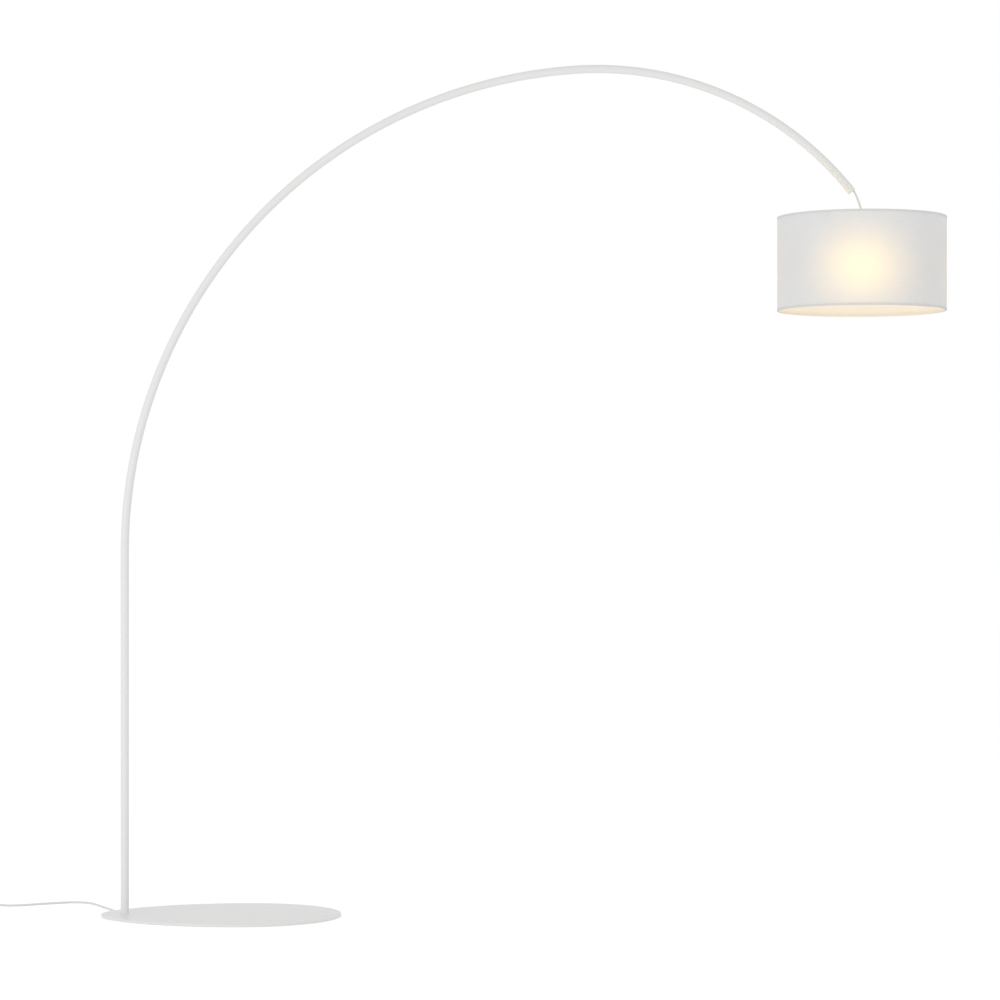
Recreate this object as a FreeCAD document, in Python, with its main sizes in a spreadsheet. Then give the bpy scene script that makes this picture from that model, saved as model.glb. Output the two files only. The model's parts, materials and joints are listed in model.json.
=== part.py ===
import FreeCAD, Part
import math
import os
import Sketcher

# Arc floor lamp: a thin egg-shaped steel plate, a pole that runs into a two-radius arch, and a
# drum shade that hangs from the arch's end on a short stretch of cord.
#
# Millimetres.  The pole's axis is the Z axis and the floor is z = 0.  The arch reaches out along
# +X, above the wide end of the plate, and +Y is the lamp's left side seen from the shade.

Vector = FreeCAD.Vector
UPRIGHT = Vector(0, 0, 1)

SIZES = {
    # base plate
    "pad_height": 1.5,
    "pad_diameter": 30.0,
    "centre_pad_notch": 3.0,        # from the pole's axis to the centre pad's notch
    "plate_thickness": 6.0,
    "plate_nose_reach": 62.0,       # pole axis to the narrow end
    "plate_tail_reach": 577.0,      # pole axis to the wide end
    "plate_widest_reach": 320.0,    # pole axis to the widest place
    "plate_half_width": 289.0,
    "plate_nose_radius": 175.0,
    "plate_top_rounding": 1.2,
    "plate_foot_rounding": 0.5,
    "cord_exit_angle": 109.0,       # the cord groove's direction, counter-clockwise from +X
    "groove_clearance": 0.4,        # beside the cord, on each side
    "groove_depth": 4.3,
    "slot_reach": 5.5,              # how far the cord's slot runs on from the pole's axis
    "foot_hole_clearance": 0.2,     # radial, round each foot screw's shank
    "foot_head_clearance": 0.1,     # radial, round its head
    # pole and arch
    "tube_diameter": 22.0,
    "tube_wall": 1.5,
    "pole_top": 973.0,              # height at which the pole runs into the arch
    "lower_arch_radius": 1288.0,
    "lower_arch_angle": 86.24,
    "upper_arch_radius": 868.0,
    "upper_arch_angle": 55.06,
    "slip_clearance": 0.05,         # radial, between a plug or spigot and the tube round it
    "spigot_wall": 1.2,
    "spigot_reach": 60.0,
    "joint_screw_diameter": 4.0,
    "joint_screw_length": 4.7,
    "joint_screw_setback": 20.0,    # from the seam, in the upper tube
    "joint_screw_sink": 0.1,        # below the tube's back
    "joint_screw_socket": 2.0,      # across the hexagon's flats
    "joint_socket_depth": 1.6,
    "joint_hole_clearance": 0.1,    # radial, in the upper tube
    "thread_clearance": 0.02,       # radial, round a screw in its own thread
    "tip_flange": 3.2,
    "tip_rounding": 1.0,
    "tip_stem": 14.0,
    "tip_stem_taper": 0.15,         # radial, so the straight stem goes into the bent tube
    # pole foot
    "foot_plug_height": 45.0,
    "cable_mouth_height": 8.0,      # room in the foot plug for the cable's bend
    "foot_screw_diameter": 4.0,
    "foot_screw_head": 8.0,
    "foot_screw_length": 30.0,
    "foot_screw_radius": 7.0,       # from the pole's axis
    "foot_screw_gap": 0.05,         # between each head and its countersink
    "foot_screw_socket": 2.5,       # across the hexagon's flats
    "foot_socket_depth": 1.6,
    # cord
    "cord_diameter": 5.6,
    "cable_offset": 5.0,            # the cable lies to the outside of the arch by this much
    "foot_bend_radius": 10.0,
    "cable_shift_start": 130.0,     # heights between which the cable crosses to the pole's back
    "cable_shift_end": 300.0,
    "cable_shift_radius": 900.0,
    "cable_tie_width": 3.6,
    "cable_tie_thickness": 1.4,
    "cable_tie_clearance": 0.02,    # radial, round the cable
    "cable_tie_head": 3.0,
    "cable_tie_head_width": 4.4,
    "cable_tie_gap": 0.05,          # above the foot plug
    # pendant, measured from the end of the arch to the mouth of the cord grip
    "pendant_reach": 28.2,
    "pendant_drop": 71.0,
    "pendant_lead_out": 8.0,        # straight stretch at the arch's end
    "pendant_lead_in": 18.0,        # straight stretch above the cord grip
    "outlet_clearance": 0.2,        # radial, round the cord in the arch's end
    # lampholder, downward from the mouth of its cord grip
    "grip_height": 12.0,
    "grip_radius": 7.0,
    "grip_flare": 2.0,              # height of the slope from the neck to the foot
    "grip_rounding": 1.0,
    "grip_clearance": 0.4,
    "grip_screw_diameter": 3.0,
    "grip_screw_height": 3.0,       # above the grip's foot
    "grip_screw_gap": 0.1,          # between the screw's tip and the cord
    "lead_gap": 0.3,                # between the pendant cord's round end and the lead
    "cap_height": 28.0,
    "cap_radius": 21.5,
    "cap_top_radius": 9.0,
    "cap_wall": 2.0,
    "cap_skirt_height": 14.0,       # straight lower part
    "cap_crown_reach": 7.0,         # the crown beyond the top
    "cap_crown_drop": 4.0,
    "cap_rounding": 8.0,
    "insert_radius": 17.5,
    "insert_rise": 12.0,            # above the cap's lower edge
    "insert_depth": 6.0,            # below the cap's lower edge
    "insert_step": 3.0,             # the insert's narrow upper part
    "insert_step_height": 4.0,
    "terminal_notch_reach": 6.0,    # from the axis to each notch
    "terminal_notch_width": 7.0,
    "terminal_notch_depth": 3.0,
    "insert_boss_radius": 5.0,
    "insert_boss_depth": 4.0,
    "contact_radius": 4.5,
    "contact_thickness": 0.8,
    "skirt_radius": 19.75,
    "skirt_wall": 3.25,
    "skirt_length": 38.0,
    "skirt_rounding": 0.8,
    "shoulder_radius": 22.5,
    "shoulder_thickness": 2.0,
    "screw_shell_radius": 14.2,
    "screw_shell_wall": 0.5,
    "screw_shell_length": 28.0,
    "ring_nut_height": 8.0,
    "ring_nut_radius": 26.0,
    "ring_nut_flange_radius": 29.0,
    "ring_nut_flange": 2.0,
    "ring_nut_clearance": 0.08,
    "ring_nut_rounding": 0.8,
    "grip_notch_radius": 2.0,
    "grip_notch_setback": 1.0,      # of each notch's centre, outside the nut
    "grip_notch_start": 0.5,        # below the flange
    # bulb
    "bulb_length": 107.0,
    "bulb_radius": 30.0,
    "bulb_neck_radius": 14.0,
    "bulb_waist_radius": 45.0,
    "bulb_glass": 1.0,
    "bulb_cap_radius": 13.0,
    "bulb_cap_length": 27.0,
    "bulb_cap_chamfer": 1.0,
    "bulb_tip_height": 1.5,
    "bulb_tip_taper": 1.0,
    "bulb_insulator_height": 3.0,
    "bulb_insulator_taper": 3.0,
    # shade
    "shade_radius": 225.0,
    "shade_height": 250.0,
    "shade_skin": 1.0,
    "shade_rise": 1.0,              # the shade's top above the mouth of the cord grip
    "ring_wire": 3.0,
    "ring_clearance": 0.1,
    "trim_thickness": 0.5,
    "trim_height": 5.5,
    "spoke_wire": 3.0,
    "spoke_bend_radius": 12.0,
    "spoke_bend_reach": 204.0,
    "spoke_weld": 2.0,              # overlap with the fitter ring
    "spoke_rise": 0.3,              # each spoke's axis above the fitter ring's top
    "spoke_gap_clearance": 0.3,     # beside each spoke, in the top tape
    "fitter_thickness": 1.5,
    "fitter_clearance": 0.25,
    "fitter_radius": 29.0,
    # foot switch
    "switch_radius": 31.0,
    "switch_height": 20.0,
    "switch_parting": 6.0,
    "switch_wall": 2.0,
    "switch_shoulder_height": 12.0,
    "switch_crown": 3.0,            # the flat rim round the button's opening
    "switch_rounding": 3.0,
    "switch_foot_rounding": 1.0,
    "button_radius": 16.5,
    "button_clearance": 0.5,
    "button_stand": 3.0,            # above the cover at rest
    "button_flange": 2.0,
    "button_flange_overlap": 2.0,
    "button_flange_gap": 0.1,
    "button_wall": 2.0,
    "button_crown": 0.8,            # the middle above the rim
    "button_rounding": 0.8,
    "plunger_radius": 3.0,
    "plunger_clearance": 0.1,
    "plunger_bottom": 7.5,
    "plunger_gap": 0.2,             # under the button's ceiling
    "module_length": 24.0,
    "module_width": 16.0,
    "module_height": 8.0,
    "module_bore_floor": 2.2,
    "switch_screw_radius": 1.5,
    "switch_screw_head_radius": 2.8,
    "switch_screw_head": 1.0,
    "switch_screw_length": 9.0,
    "switch_screw_gap": 0.1,        # between each head and its well
    "switch_screw_end_gap": 0.5,    # between its end and the boss
    "switch_hole_clearance": 0.15,
    "switch_well_clearance": 0.2,
    "cross_slot_width": 0.7,
    "cross_slot_length": 3.0,
    "cross_slot_depth": 1.2,
    "switch_boss_radius": 3.4,
    "switch_boss_circle": 24.0,
    # strain reliefs
    "relief_gap": 0.5,              # between the foot switch's wall and the relief's collar
    "relief_length": 24.0,
    "relief_radius": 4.6,
    "relief_end_radius": 3.4,
    "relief_collar_radius": 5.4,
    "relief_collar": 1.5,
    # plug
    "plug_length": 36.0,
    "plug_width": 35.3,
    "plug_thickness": 13.7,
    "plug_corner": 6.0,
    "plug_shoulder_reach": 16.2,    # from the pins' face to where the taper starts
    "plug_shoulder_narrowing": 3.0,
    "plug_tail_width": 14.0,
    "plug_tail_thickness": 10.0,
    "plug_tail_corner": 2.0,
    "pin_diameter": 4.0,
    "pin_length": 19.0,
    "pin_spacing": 18.6,
    # coil
    "coil_middle_radius": 31.0,
    "coil_rows": 3.0,
    "coil_layers": 2.0,
    "coil_slack": 0.1,
    "coil_tie_width": 8.0,
    "coil_tie_thickness": 0.8,
    "coil_tie_clearance": 0.1,      # between the tie and the turns
    "coil_tie_lap_start": 1.5,      # height at which the tie's loose end starts
    "coil_tie_direction": 180.0,    # from the coil's centre, counter-clockwise from +X
    # where the pieces on the cord lie, past the narrow end of the plate
    "switch_x": -457.0,
    "switch_y": 264.0,
    "coil_x": -587.0,
    "coil_y": 227.4,
    "plug_x": -497.0,
    "plug_y": 176.0,
    "cord_first_run": 52.0,         # straight on from the plate's rim
}

FOOT_SCREWS = 3
SPOKES = 3
SWITCH_SCREWS = 3
GRIP_NOTCHES = 12

# the rim pads' places, as shares of the plate's reach on that side and of its half width
PAD_SHARES = [(-0.55, 0.0), (0.038, 0.36), (0.038, -0.36), (0.407, 0.844),
              (0.407, -0.844), (0.789, 0.709), (0.789, -0.709), (0.948, 0.0)]

doc = FreeCAD.newDocument("ArcFloorLamp")
sheet = doc.addObject("Spreadsheet::Sheet", "Sizes")
for row, (alias, value) in enumerate(SIZES.items(), 1):
    sheet.set(f"B{row}", str(value))
    sheet.setAlias(f"B{row}", alias)
doc.recompute()


def number(expression):
    """The value of an expression, as a plain number."""
    return float(sheet.evalExpression(expression))


def size(alias):
    return number(f"Sizes.{alias}")


SWITCH_CENTRE = Vector(size("switch_x"), size("switch_y"), 0)
COIL_CENTRE = Vector(size("coil_x"), size("coil_y"), 0)
PLUG_TAIL = Vector(size("plug_x"), size("plug_y"), 0)


# ---------------------------------------------------------------------------------------------
# places along the pole and arch, as expressions

LOWER_RADIUS = "Sizes.lower_arch_radius"
UPPER_RADIUS = "Sizes.upper_arch_radius"
LOWER_ANGLE = "Sizes.lower_arch_angle"
HALF_LOWER_ANGLE = "(Sizes.lower_arch_angle / 2)"
TIP_ANGLE = "(Sizes.lower_arch_angle + Sizes.upper_arch_angle)"
PLATE_TOP = "(Sizes.pad_height + Sizes.plate_thickness)"
TUBE_RADIUS = "(Sizes.tube_diameter / 2)"
BORE_RADIUS = f"({TUBE_RADIUS} - Sizes.tube_wall)"
PLUG_RADIUS = f"({BORE_RADIUS} - Sizes.slip_clearance)"
CORD_RADIUS = "(Sizes.cord_diameter / 2)"

MIDDLE_X = f"({LOWER_RADIUS} * (1 - cos{HALF_LOWER_ANGLE}))"
MIDDLE_Z = f"(Sizes.pole_top + {LOWER_RADIUS} * sin{HALF_LOWER_ANGLE})"
APEX_X = f"({LOWER_RADIUS} * (1 - cos({LOWER_ANGLE})))"
APEX_Z = f"(Sizes.pole_top + {LOWER_RADIUS} * sin({LOWER_ANGLE}))"
TIP_X = f"({APEX_X} + {UPPER_RADIUS} * (cos({LOWER_ANGLE}) - cos{TIP_ANGLE}))"
TIP_Z = f"({APEX_Z} + {UPPER_RADIUS} * (sin{TIP_ANGLE} - sin({LOWER_ANGLE})))"
GRIP_X = f"({TIP_X} + Sizes.pendant_reach)"
GRIP_Z = f"({TIP_Z} - Sizes.pendant_drop)"


# ---------------------------------------------------------------------------------------------
# helpers

def place(piece, x="0", y="0", z="0", angle=None, axis=Vector(0, 1, 0)):
    """Put a piece at a place, turned by angle degrees about axis."""
    if angle is not None:
        piece.Placement = FreeCAD.Placement(Vector(), FreeCAD.Rotation(axis, number(angle)))
        piece.setExpression("Placement.Rotation.Angle", angle)
    piece.setExpression("Placement.Base.x", x)
    piece.setExpression("Placement.Base.y", y)
    piece.setExpression("Placement.Base.z", z)


def new_body(label):
    body = doc.addObject("PartDesign::Body", label)
    body.Label = label
    return body


def origin_plane(body, role):
    return next(plane for plane in body.Origin.OriginFeatures if plane.Role == role)


def new_sketch(body, name, role="XY_Plane", height=None, turn=None):
    """A sketch on one of the body's origin planes, raised by height and turned in its plane."""
    sketch = body.newObject("Sketcher::SketchObject", name)
    sketch.AttachmentSupport = [(origin_plane(body, role), "")]
    sketch.MapMode = "FlatFace"
    if turn is not None:
        spin = FreeCAD.Rotation(UPRIGHT, number(turn))
        sketch.AttachmentOffset = FreeCAD.Placement(Vector(), spin)
        sketch.setExpression("AttachmentOffset.Rotation.Angle", turn)
    if height is not None:
        sketch.setExpression("AttachmentOffset.Base.z", height)
    return sketch


def bind(sketch, constraint, expression):
    index = sketch.addConstraint(constraint)
    sketch.setExpression(f"Constraints[{index}]", expression)


def pin_point(sketch, geometry, point, x, y):
    """Hold a point of the sketch at (x, y), two expressions."""
    if x == "0":
        sketch.addConstraint(Sketcher.Constraint("PointOnObject", geometry, point, -2))
    else:
        held = Sketcher.Constraint("DistanceX", -1, 1, geometry, point, number(x))
        bind(sketch, held, x)
    if y == "0":
        sketch.addConstraint(Sketcher.Constraint("PointOnObject", geometry, point, -1))
    else:
        held = Sketcher.Constraint("DistanceY", -1, 1, geometry, point, number(y))
        bind(sketch, held, y)


def add_circle(sketch, radius, x="0", y="0"):
    centre = Vector(number(x), number(y), 0)
    circle = sketch.addGeometry(Part.Circle(centre, UPRIGHT, number(radius)))
    bind(sketch, Sketcher.Constraint("Radius", circle, number(radius)), radius)
    pin_point(sketch, circle, 3, x, y)
    return circle


def add_outline(sketch, points):
    """A closed outline with straight sides, through points given as pairs of expressions."""
    places = [Vector(number(x), number(y), 0) for x, y in points]
    first = sketch.GeometryCount
    for start, end in zip(places, places[1:] + places[:1]):
        sketch.addGeometry(Part.LineSegment(start, end))
    for side, (x, y) in enumerate(points):
        following = first + (side + 1) % len(points)
        sketch.addConstraint(Sketcher.Constraint("Coincident", first + side, 2, following, 1))
        pin_point(sketch, first + side, 1, x, y)


def add_upright(sketch, x):
    """A construction line at x, parallel to the sketch's vertical axis, to revolve about."""
    start = Vector(number(x), 0, 0)
    line = sketch.addGeometry(Part.LineSegment(start, start + Vector(0, 1, 0)), True)
    pin_point(sketch, line, 1, x, "0")
    sketch.addConstraint(Sketcher.Constraint("Vertical", line))
    sketch.addConstraint(Sketcher.Constraint("DistanceY", line, 1, line, 2, 1))


def pad(body, name, sketch, length, backwards=False, both_ways=False):
    feature = body.newObject("PartDesign::Pad", name)
    feature.Profile = sketch
    feature.Reversed = backwards
    feature.Midplane = both_ways
    feature.setExpression("Length", length)
    body.Tip = feature
    return feature


def pocket(body, name, sketch, length=None, backwards=False, both_ways=False):
    """A pocket of a given length, or through everything where no length is given."""
    feature = body.newObject("PartDesign::Pocket", name)
    feature.Profile = sketch
    feature.Reversed = backwards
    if length is None:
        feature.Type = "ThroughAll"
        feature.Midplane = both_ways
    else:
        feature.setExpression("Length", length)
    body.Tip = feature
    return feature


def revolve(body, name, sketch, angle="360", axis="V_Axis", cut=False):
    kind = "PartDesign::Groove" if cut else "PartDesign::Revolution"
    feature = body.newObject(kind, name)
    feature.Profile = sketch
    feature.ReferenceAxis = (sketch, [axis])
    feature.setExpression("Angle", angle)
    body.Tip = feature
    return feature


def polar(body, name, feature, count, angle=360):
    """Repeat a feature round the body's Z axis, over an angle that a minus turns clockwise."""
    pattern = body.newObject("PartDesign::PolarPattern", name)
    pattern.Originals = [feature]
    z_axis = next(line for line in body.Origin.OriginFeatures if line.Role == "Z_Axis")
    pattern.Axis = (z_axis, [""])
    pattern.Angle = abs(angle)
    pattern.Reversed = angle < 0
    pattern.Occurrences = count
    body.Tip = pattern
    return pattern


def round_edges(body, name, feature, radius, chosen):
    """Round those edges of a feature for which chosen(edge) is true."""
    doc.recompute()
    edges = feature.Shape.Edges
    names = [f"Edge{index}" for index, edge in enumerate(edges, 1) if chosen(edge)]
    if not names:
        raise RuntimeError(f"{body.Label}: no edge to round for {name}")
    fillet = body.newObject("PartDesign::Fillet", name)
    fillet.Base = (feature, names)
    fillet.setExpression("Radius", radius)
    body.Tip = fillet
    return fillet


def is_flat_ring(edge, radius, height):
    """True for a whole circle of that radius about the Z axis at that height."""
    curve = edge.Curve
    if not isinstance(curve, Part.Circle) or abs(curve.Radius - number(radius)) > 0.001:
        return False
    off_axis = math.hypot(curve.Center.x, curve.Center.y)
    return off_axis < 0.001 and abs(curve.Center.z - number(height)) < 0.001


def turned_piece(label, points, rounds=()):
    """A body turned about its Z axis, from an outline of (radius, height) expressions.

    rounds holds (radius, height, rounding) for each rim that is rounded."""
    body = new_body(label)
    sketch = new_sketch(body, f"{label}_outline", "XZ_Plane")
    add_outline(sketch, points)
    last = revolve(body, f"{label}_turned", sketch)
    for index, (radius, height, rounding) in enumerate(rounds):
        last = round_edges(body, f"{label}_round_{index}", last, rounding,
                           lambda edge: is_flat_ring(edge, radius, height))
    return body


# ---------------------------------------------------------------------------------------------
# base plate

def rim_reach():
    """Distance from the pole's axis to the plate's rim, along the cord groove."""
    centre = size("plate_nose_radius") - size("plate_nose_reach")
    along = centre * math.cos(math.radians(size("cord_exit_angle")))
    across = centre * math.sin(math.radians(size("cord_exit_angle")))
    return along + math.sqrt(size("plate_nose_radius") ** 2 - across ** 2)


def make_base_plate():
    """Six-millimetre plate.  Half its outline is drawn and mirrored: a round nose, a flatter
    side arc tangent to it, and a quarter of an ellipse from the widest place to the tail."""
    body = new_body("base_plate")
    nose = size("plate_nose_radius")
    width = size("plate_half_width")
    widest = size("plate_widest_reach")
    nose_x = nose - size("plate_nose_reach")
    to_widest = widest - nose_x
    side = (to_widest ** 2 + width ** 2 - nose ** 2) / (2 * (width - nose))
    tail = size("plate_tail_reach") - widest

    nose_centre = Vector(nose_x, 0, 0)
    side_centre = Vector(widest, width - side, 0)
    joint = nose_centre + (nose_centre - side_centre).normalize() * nose
    tip = Vector(-size("plate_nose_reach"), 0, 0)
    crest = Vector(widest, width, 0)
    end = Vector(widest + tail, 0, 0)
    middle = Vector(widest, 0, 0)

    sketch = new_sketch(body, "half_outline")
    leaning = math.atan2(joint.y, joint.x - nose_x)
    on_nose = nose_centre + Vector(math.cos((math.pi + leaning) / 2),
                                   math.sin((math.pi + leaning) / 2), 0) * nose
    halfway = (math.atan2(joint.y - side_centre.y, joint.x - widest) + math.pi / 2) / 2
    on_side = side_centre + Vector(math.cos(halfway), math.sin(halfway), 0) * side
    nose_arc = sketch.addGeometry(Part.Arc(tip, on_nose, joint))
    side_arc = sketch.addGeometry(Part.Arc(joint, on_side, crest))
    if tail > width:
        tail_curve = Part.ArcOfEllipse(Part.Ellipse(end, crest, middle), 0, math.pi / 2)
    else:
        far_side = Vector(widest - tail, 0, 0)
        tail_curve = Part.ArcOfEllipse(Part.Ellipse(crest, far_side, middle), -math.pi / 2, 0)
    tail_arc = sketch.addGeometry(tail_curve)
    spine = sketch.addGeometry(Part.LineSegment(end, tip))
    for curve in (nose_arc, side_arc, tail_arc, spine):
        sketch.addConstraint(Sketcher.Constraint("Block", curve))

    slab = pad(body, "half_slab", sketch, "Sizes.plate_thickness")
    whole = body.newObject("PartDesign::Mirrored", "both_halves")
    whole.Originals = [slab]
    whole.MirrorPlane = (origin_plane(body, "XZ_Plane"), [""])
    body.Tip = whole
    thickness = size("plate_thickness")
    top = round_edges(body, "top_rim", whole, "Sizes.plate_top_rounding",
                      lambda edge: edge.BoundBox.ZMin > thickness - 0.001)
    round_edges(body, "foot_rim", top, "Sizes.plate_foot_rounding",
                lambda edge: edge.BoundBox.ZMax < 0.001)

    half_width = f"({CORD_RADIUS} + Sizes.groove_clearance)"
    slot = new_sketch(body, "cord_slot", turn="Sizes.cord_exit_angle")
    draw_slot(slot, half_width, "Sizes.slot_reach")
    pocket(body, "cord_slot_cut", slot, backwards=True)
    groove = new_sketch(body, "cord_groove", turn="Sizes.cord_exit_angle")
    draw_slot(groove, half_width, str(rim_reach() + 2 * number(half_width)))
    pocket(body, "cord_groove_cut", groove, "Sizes.groove_depth", backwards=True)

    holes = new_sketch(body, "foot_screw_hole", "XZ_Plane")
    reach = "Sizes.foot_screw_radius"
    shank = "(Sizes.foot_screw_diameter / 2 + Sizes.foot_hole_clearance)"
    head = "(Sizes.foot_screw_head / 2 + Sizes.foot_head_clearance)"
    add_outline(holes, [("0", "0"), (head, "0"), (shank, f"{head} - {shank}"),
                        (shank, "Sizes.plate_thickness"), ("0", "Sizes.plate_thickness")])
    turn = "Sizes.cord_exit_angle - 90"
    spin = FreeCAD.Rotation(Vector(0, 1, 0), number(turn))
    holes.AttachmentOffset = FreeCAD.Placement(Vector(), spin)
    holes.setExpression("AttachmentOffset.Rotation.Angle", turn)
    holes.setExpression("AttachmentOffset.Base.x", f"{reach} * cos({turn})")
    holes.setExpression("AttachmentOffset.Base.z", f"-{reach} * sin({turn})")
    first = revolve(body, "foot_screw_hole_cut", holes, cut=True)
    polar(body, "foot_screw_holes", first, FOOT_SCREWS, -180)
    place(body, z="Sizes.pad_height")


def draw_slot(sketch, half_width, reach):
    """A slot with a round start at the origin and a round end at (reach, 0)."""
    radius = number(half_width)
    far = number(reach)
    quarter = math.pi / 2
    start = sketch.addGeometry(Part.ArcOfCircle(Part.Circle(Vector(), UPRIGHT, radius),
                                                quarter, 3 * quarter))
    end = sketch.addGeometry(Part.ArcOfCircle(Part.Circle(Vector(far, 0, 0), UPRIGHT, radius),
                                              -quarter, quarter))
    lower = sketch.addGeometry(Part.LineSegment(Vector(0, -radius, 0), Vector(far, -radius, 0)))
    upper = sketch.addGeometry(Part.LineSegment(Vector(far, radius, 0), Vector(0, radius, 0)))
    sketch.addConstraint(Sketcher.Constraint("Tangent", start, 2, lower, 1))
    sketch.addConstraint(Sketcher.Constraint("Tangent", lower, 2, end, 1))
    sketch.addConstraint(Sketcher.Constraint("Tangent", end, 2, upper, 1))
    sketch.addConstraint(Sketcher.Constraint("Tangent", upper, 2, start, 1))
    bind(sketch, Sketcher.Constraint("Radius", start, radius), half_width)
    pin_point(sketch, start, 3, "0", "0")
    pin_point(sketch, end, 3, reach, "0")


def make_floor_pads():
    """Round anti-slip pads stuck under the plate, all in one node.  The one in the centre
    covers the foot screws, with a notch for the cable."""
    centre = new_body("centre_pad")
    round_pad = new_sketch(centre, "centre_pad_outline")
    add_circle(round_pad, "Sizes.pad_diameter / 2")
    pad(centre, "centre_pad_disc", round_pad, "Sizes.pad_height")
    notch = new_sketch(centre, "centre_pad_notch", turn="Sizes.cord_exit_angle")
    side = f"({CORD_RADIUS} + Sizes.groove_clearance)"
    add_outline(notch, [("Sizes.centre_pad_notch", f"-{side}"), ("Sizes.pad_diameter", f"-{side}"),
                        ("Sizes.pad_diameter", side), ("Sizes.centre_pad_notch", side)])
    pocket(centre, "centre_pad_notch_cut", notch, backwards=True)
    pads = [centre]
    for index, (along, across) in enumerate(PAD_SHARES):
        reach = "Sizes.plate_tail_reach" if along > 0 else "Sizes.plate_nose_reach"
        disc = doc.addObject("Part::Cylinder", f"floor_pad_{index}")
        disc.setExpression("Radius", "Sizes.pad_diameter / 2")
        disc.setExpression("Height", "Sizes.pad_height")
        place(disc, f"{along} * {reach}", f"{across} * Sizes.plate_half_width")
        pads.append(disc)
    group = doc.addObject("Part::Compound", "floor_pads")
    group.Label = "floor_pads"
    group.Links = pads


# ---------------------------------------------------------------------------------------------
# pole and arch: each tube starts at its own origin, runs up +Z and bends towards +X

def draw_ring(sketch, outer, inner):
    add_circle(sketch, outer)
    add_circle(sketch, inner)


def screw_hole(body, name, radius, height):
    """A round hole through one wall, on the +Y side, at a height above the piece's origin."""
    sketch = new_sketch(body, name, "XZ_Plane")
    add_circle(sketch, radius, "0", height)
    pocket(body, f"{name}_cut", sketch, TUBE_RADIUS, backwards=False)


def make_pole_tube():
    body = new_body("pole_tube")
    sketch = new_sketch(body, "pole_section")
    draw_ring(sketch, TUBE_RADIUS, BORE_RADIUS)
    pad(body, "pole_length", sketch, f"Sizes.pole_top - {PLATE_TOP}")
    place(body, z=PLATE_TOP)


def make_arch_tube(label, radius, bend, x, z, angle):
    """One bent tube, with the hole for its joint screw near its lower end."""
    body = new_body(label)
    sketch = new_sketch(body, f"{label}_section")
    draw_ring(sketch, TUBE_RADIUS, BORE_RADIUS)
    add_upright(sketch, radius)
    revolve(body, f"{label}_bend", sketch, bend, "Axis0")
    screw_hole(body, f"{label}_hole",
               "Sizes.joint_screw_diameter / 2 + Sizes.joint_hole_clearance",
               "Sizes.joint_screw_setback")
    place(body, x, "0", z, angle)


def make_spigot(label, lower_radius, upper_radius, x, z, angle):
    """The sleeve inside a seam.  Half of it is fixed in the tube below, and the tube above
    slides over the other half, so each half is bent like the tube round it."""
    body = new_body(label)
    outer = PLUG_RADIUS
    inner = f"({PLUG_RADIUS} - Sizes.spigot_wall)"
    upper = new_sketch(body, f"{label}_upper_section")
    draw_ring(upper, outer, inner)
    add_upright(upper, upper_radius)
    revolve(body, f"{label}_upper_half", upper,
            f"Sizes.spigot_reach / {upper_radius} * 180 / pi", "Axis0")
    lower = new_sketch(body, f"{label}_lower_section")
    draw_ring(lower, outer, inner)
    if lower_radius is None:
        pad(body, f"{label}_lower_half", lower, "Sizes.spigot_reach", backwards=True)
    else:
        add_upright(lower, lower_radius)
        half = revolve(body, f"{label}_lower_half", lower,
                       f"Sizes.spigot_reach / {lower_radius} * 180 / pi", "Axis0")
        half.Reversed = True
    screw_hole(body, f"{label}_hole", "Sizes.joint_screw_diameter / 2 + Sizes.thread_clearance",
               "Sizes.joint_screw_setback")
    place(body, x, "0", z, angle)


def make_pole_and_arch():
    make_pole_tube()
    make_arch_tube("lower_arch_tube", LOWER_RADIUS, HALF_LOWER_ANGLE, "0", "Sizes.pole_top", "0")
    make_arch_tube("middle_arch_tube", LOWER_RADIUS, HALF_LOWER_ANGLE, MIDDLE_X, MIDDLE_Z,
                   HALF_LOWER_ANGLE)
    make_arch_tube("upper_arch_tube", UPPER_RADIUS, "Sizes.upper_arch_angle", APEX_X, APEX_Z,
                   LOWER_ANGLE)
    make_spigot("pole_spigot", None, LOWER_RADIUS, "0", "Sizes.pole_top", "0")
    make_spigot("middle_spigot", LOWER_RADIUS, LOWER_RADIUS, MIDDLE_X, MIDDLE_Z,
                HALF_LOWER_ANGLE)
    make_spigot("apex_spigot", LOWER_RADIUS, UPPER_RADIUS, APEX_X, APEX_Z, LOWER_ANGLE)


def cut_hex_socket(body, name, flats, depth, top="0", backwards=False):
    """A hexagonal socket, down from the height top, or up where it is cut backwards."""
    sketch = new_sketch(body, f"{name}_outline", height=top)
    corner_reach = f"({flats} / 2 / cos(30))"
    corners = [(f"{corner_reach} * cos({angle})", f"{corner_reach} * sin({angle})")
               for angle in (30, 90, 150, 210, 270, 330)]
    corners[1] = ("0", corner_reach)
    corners[4] = ("0", f"-{corner_reach}")
    add_outline(sketch, corners)
    pocket(body, f"{name}_cut", sketch, depth, backwards=backwards)


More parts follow.
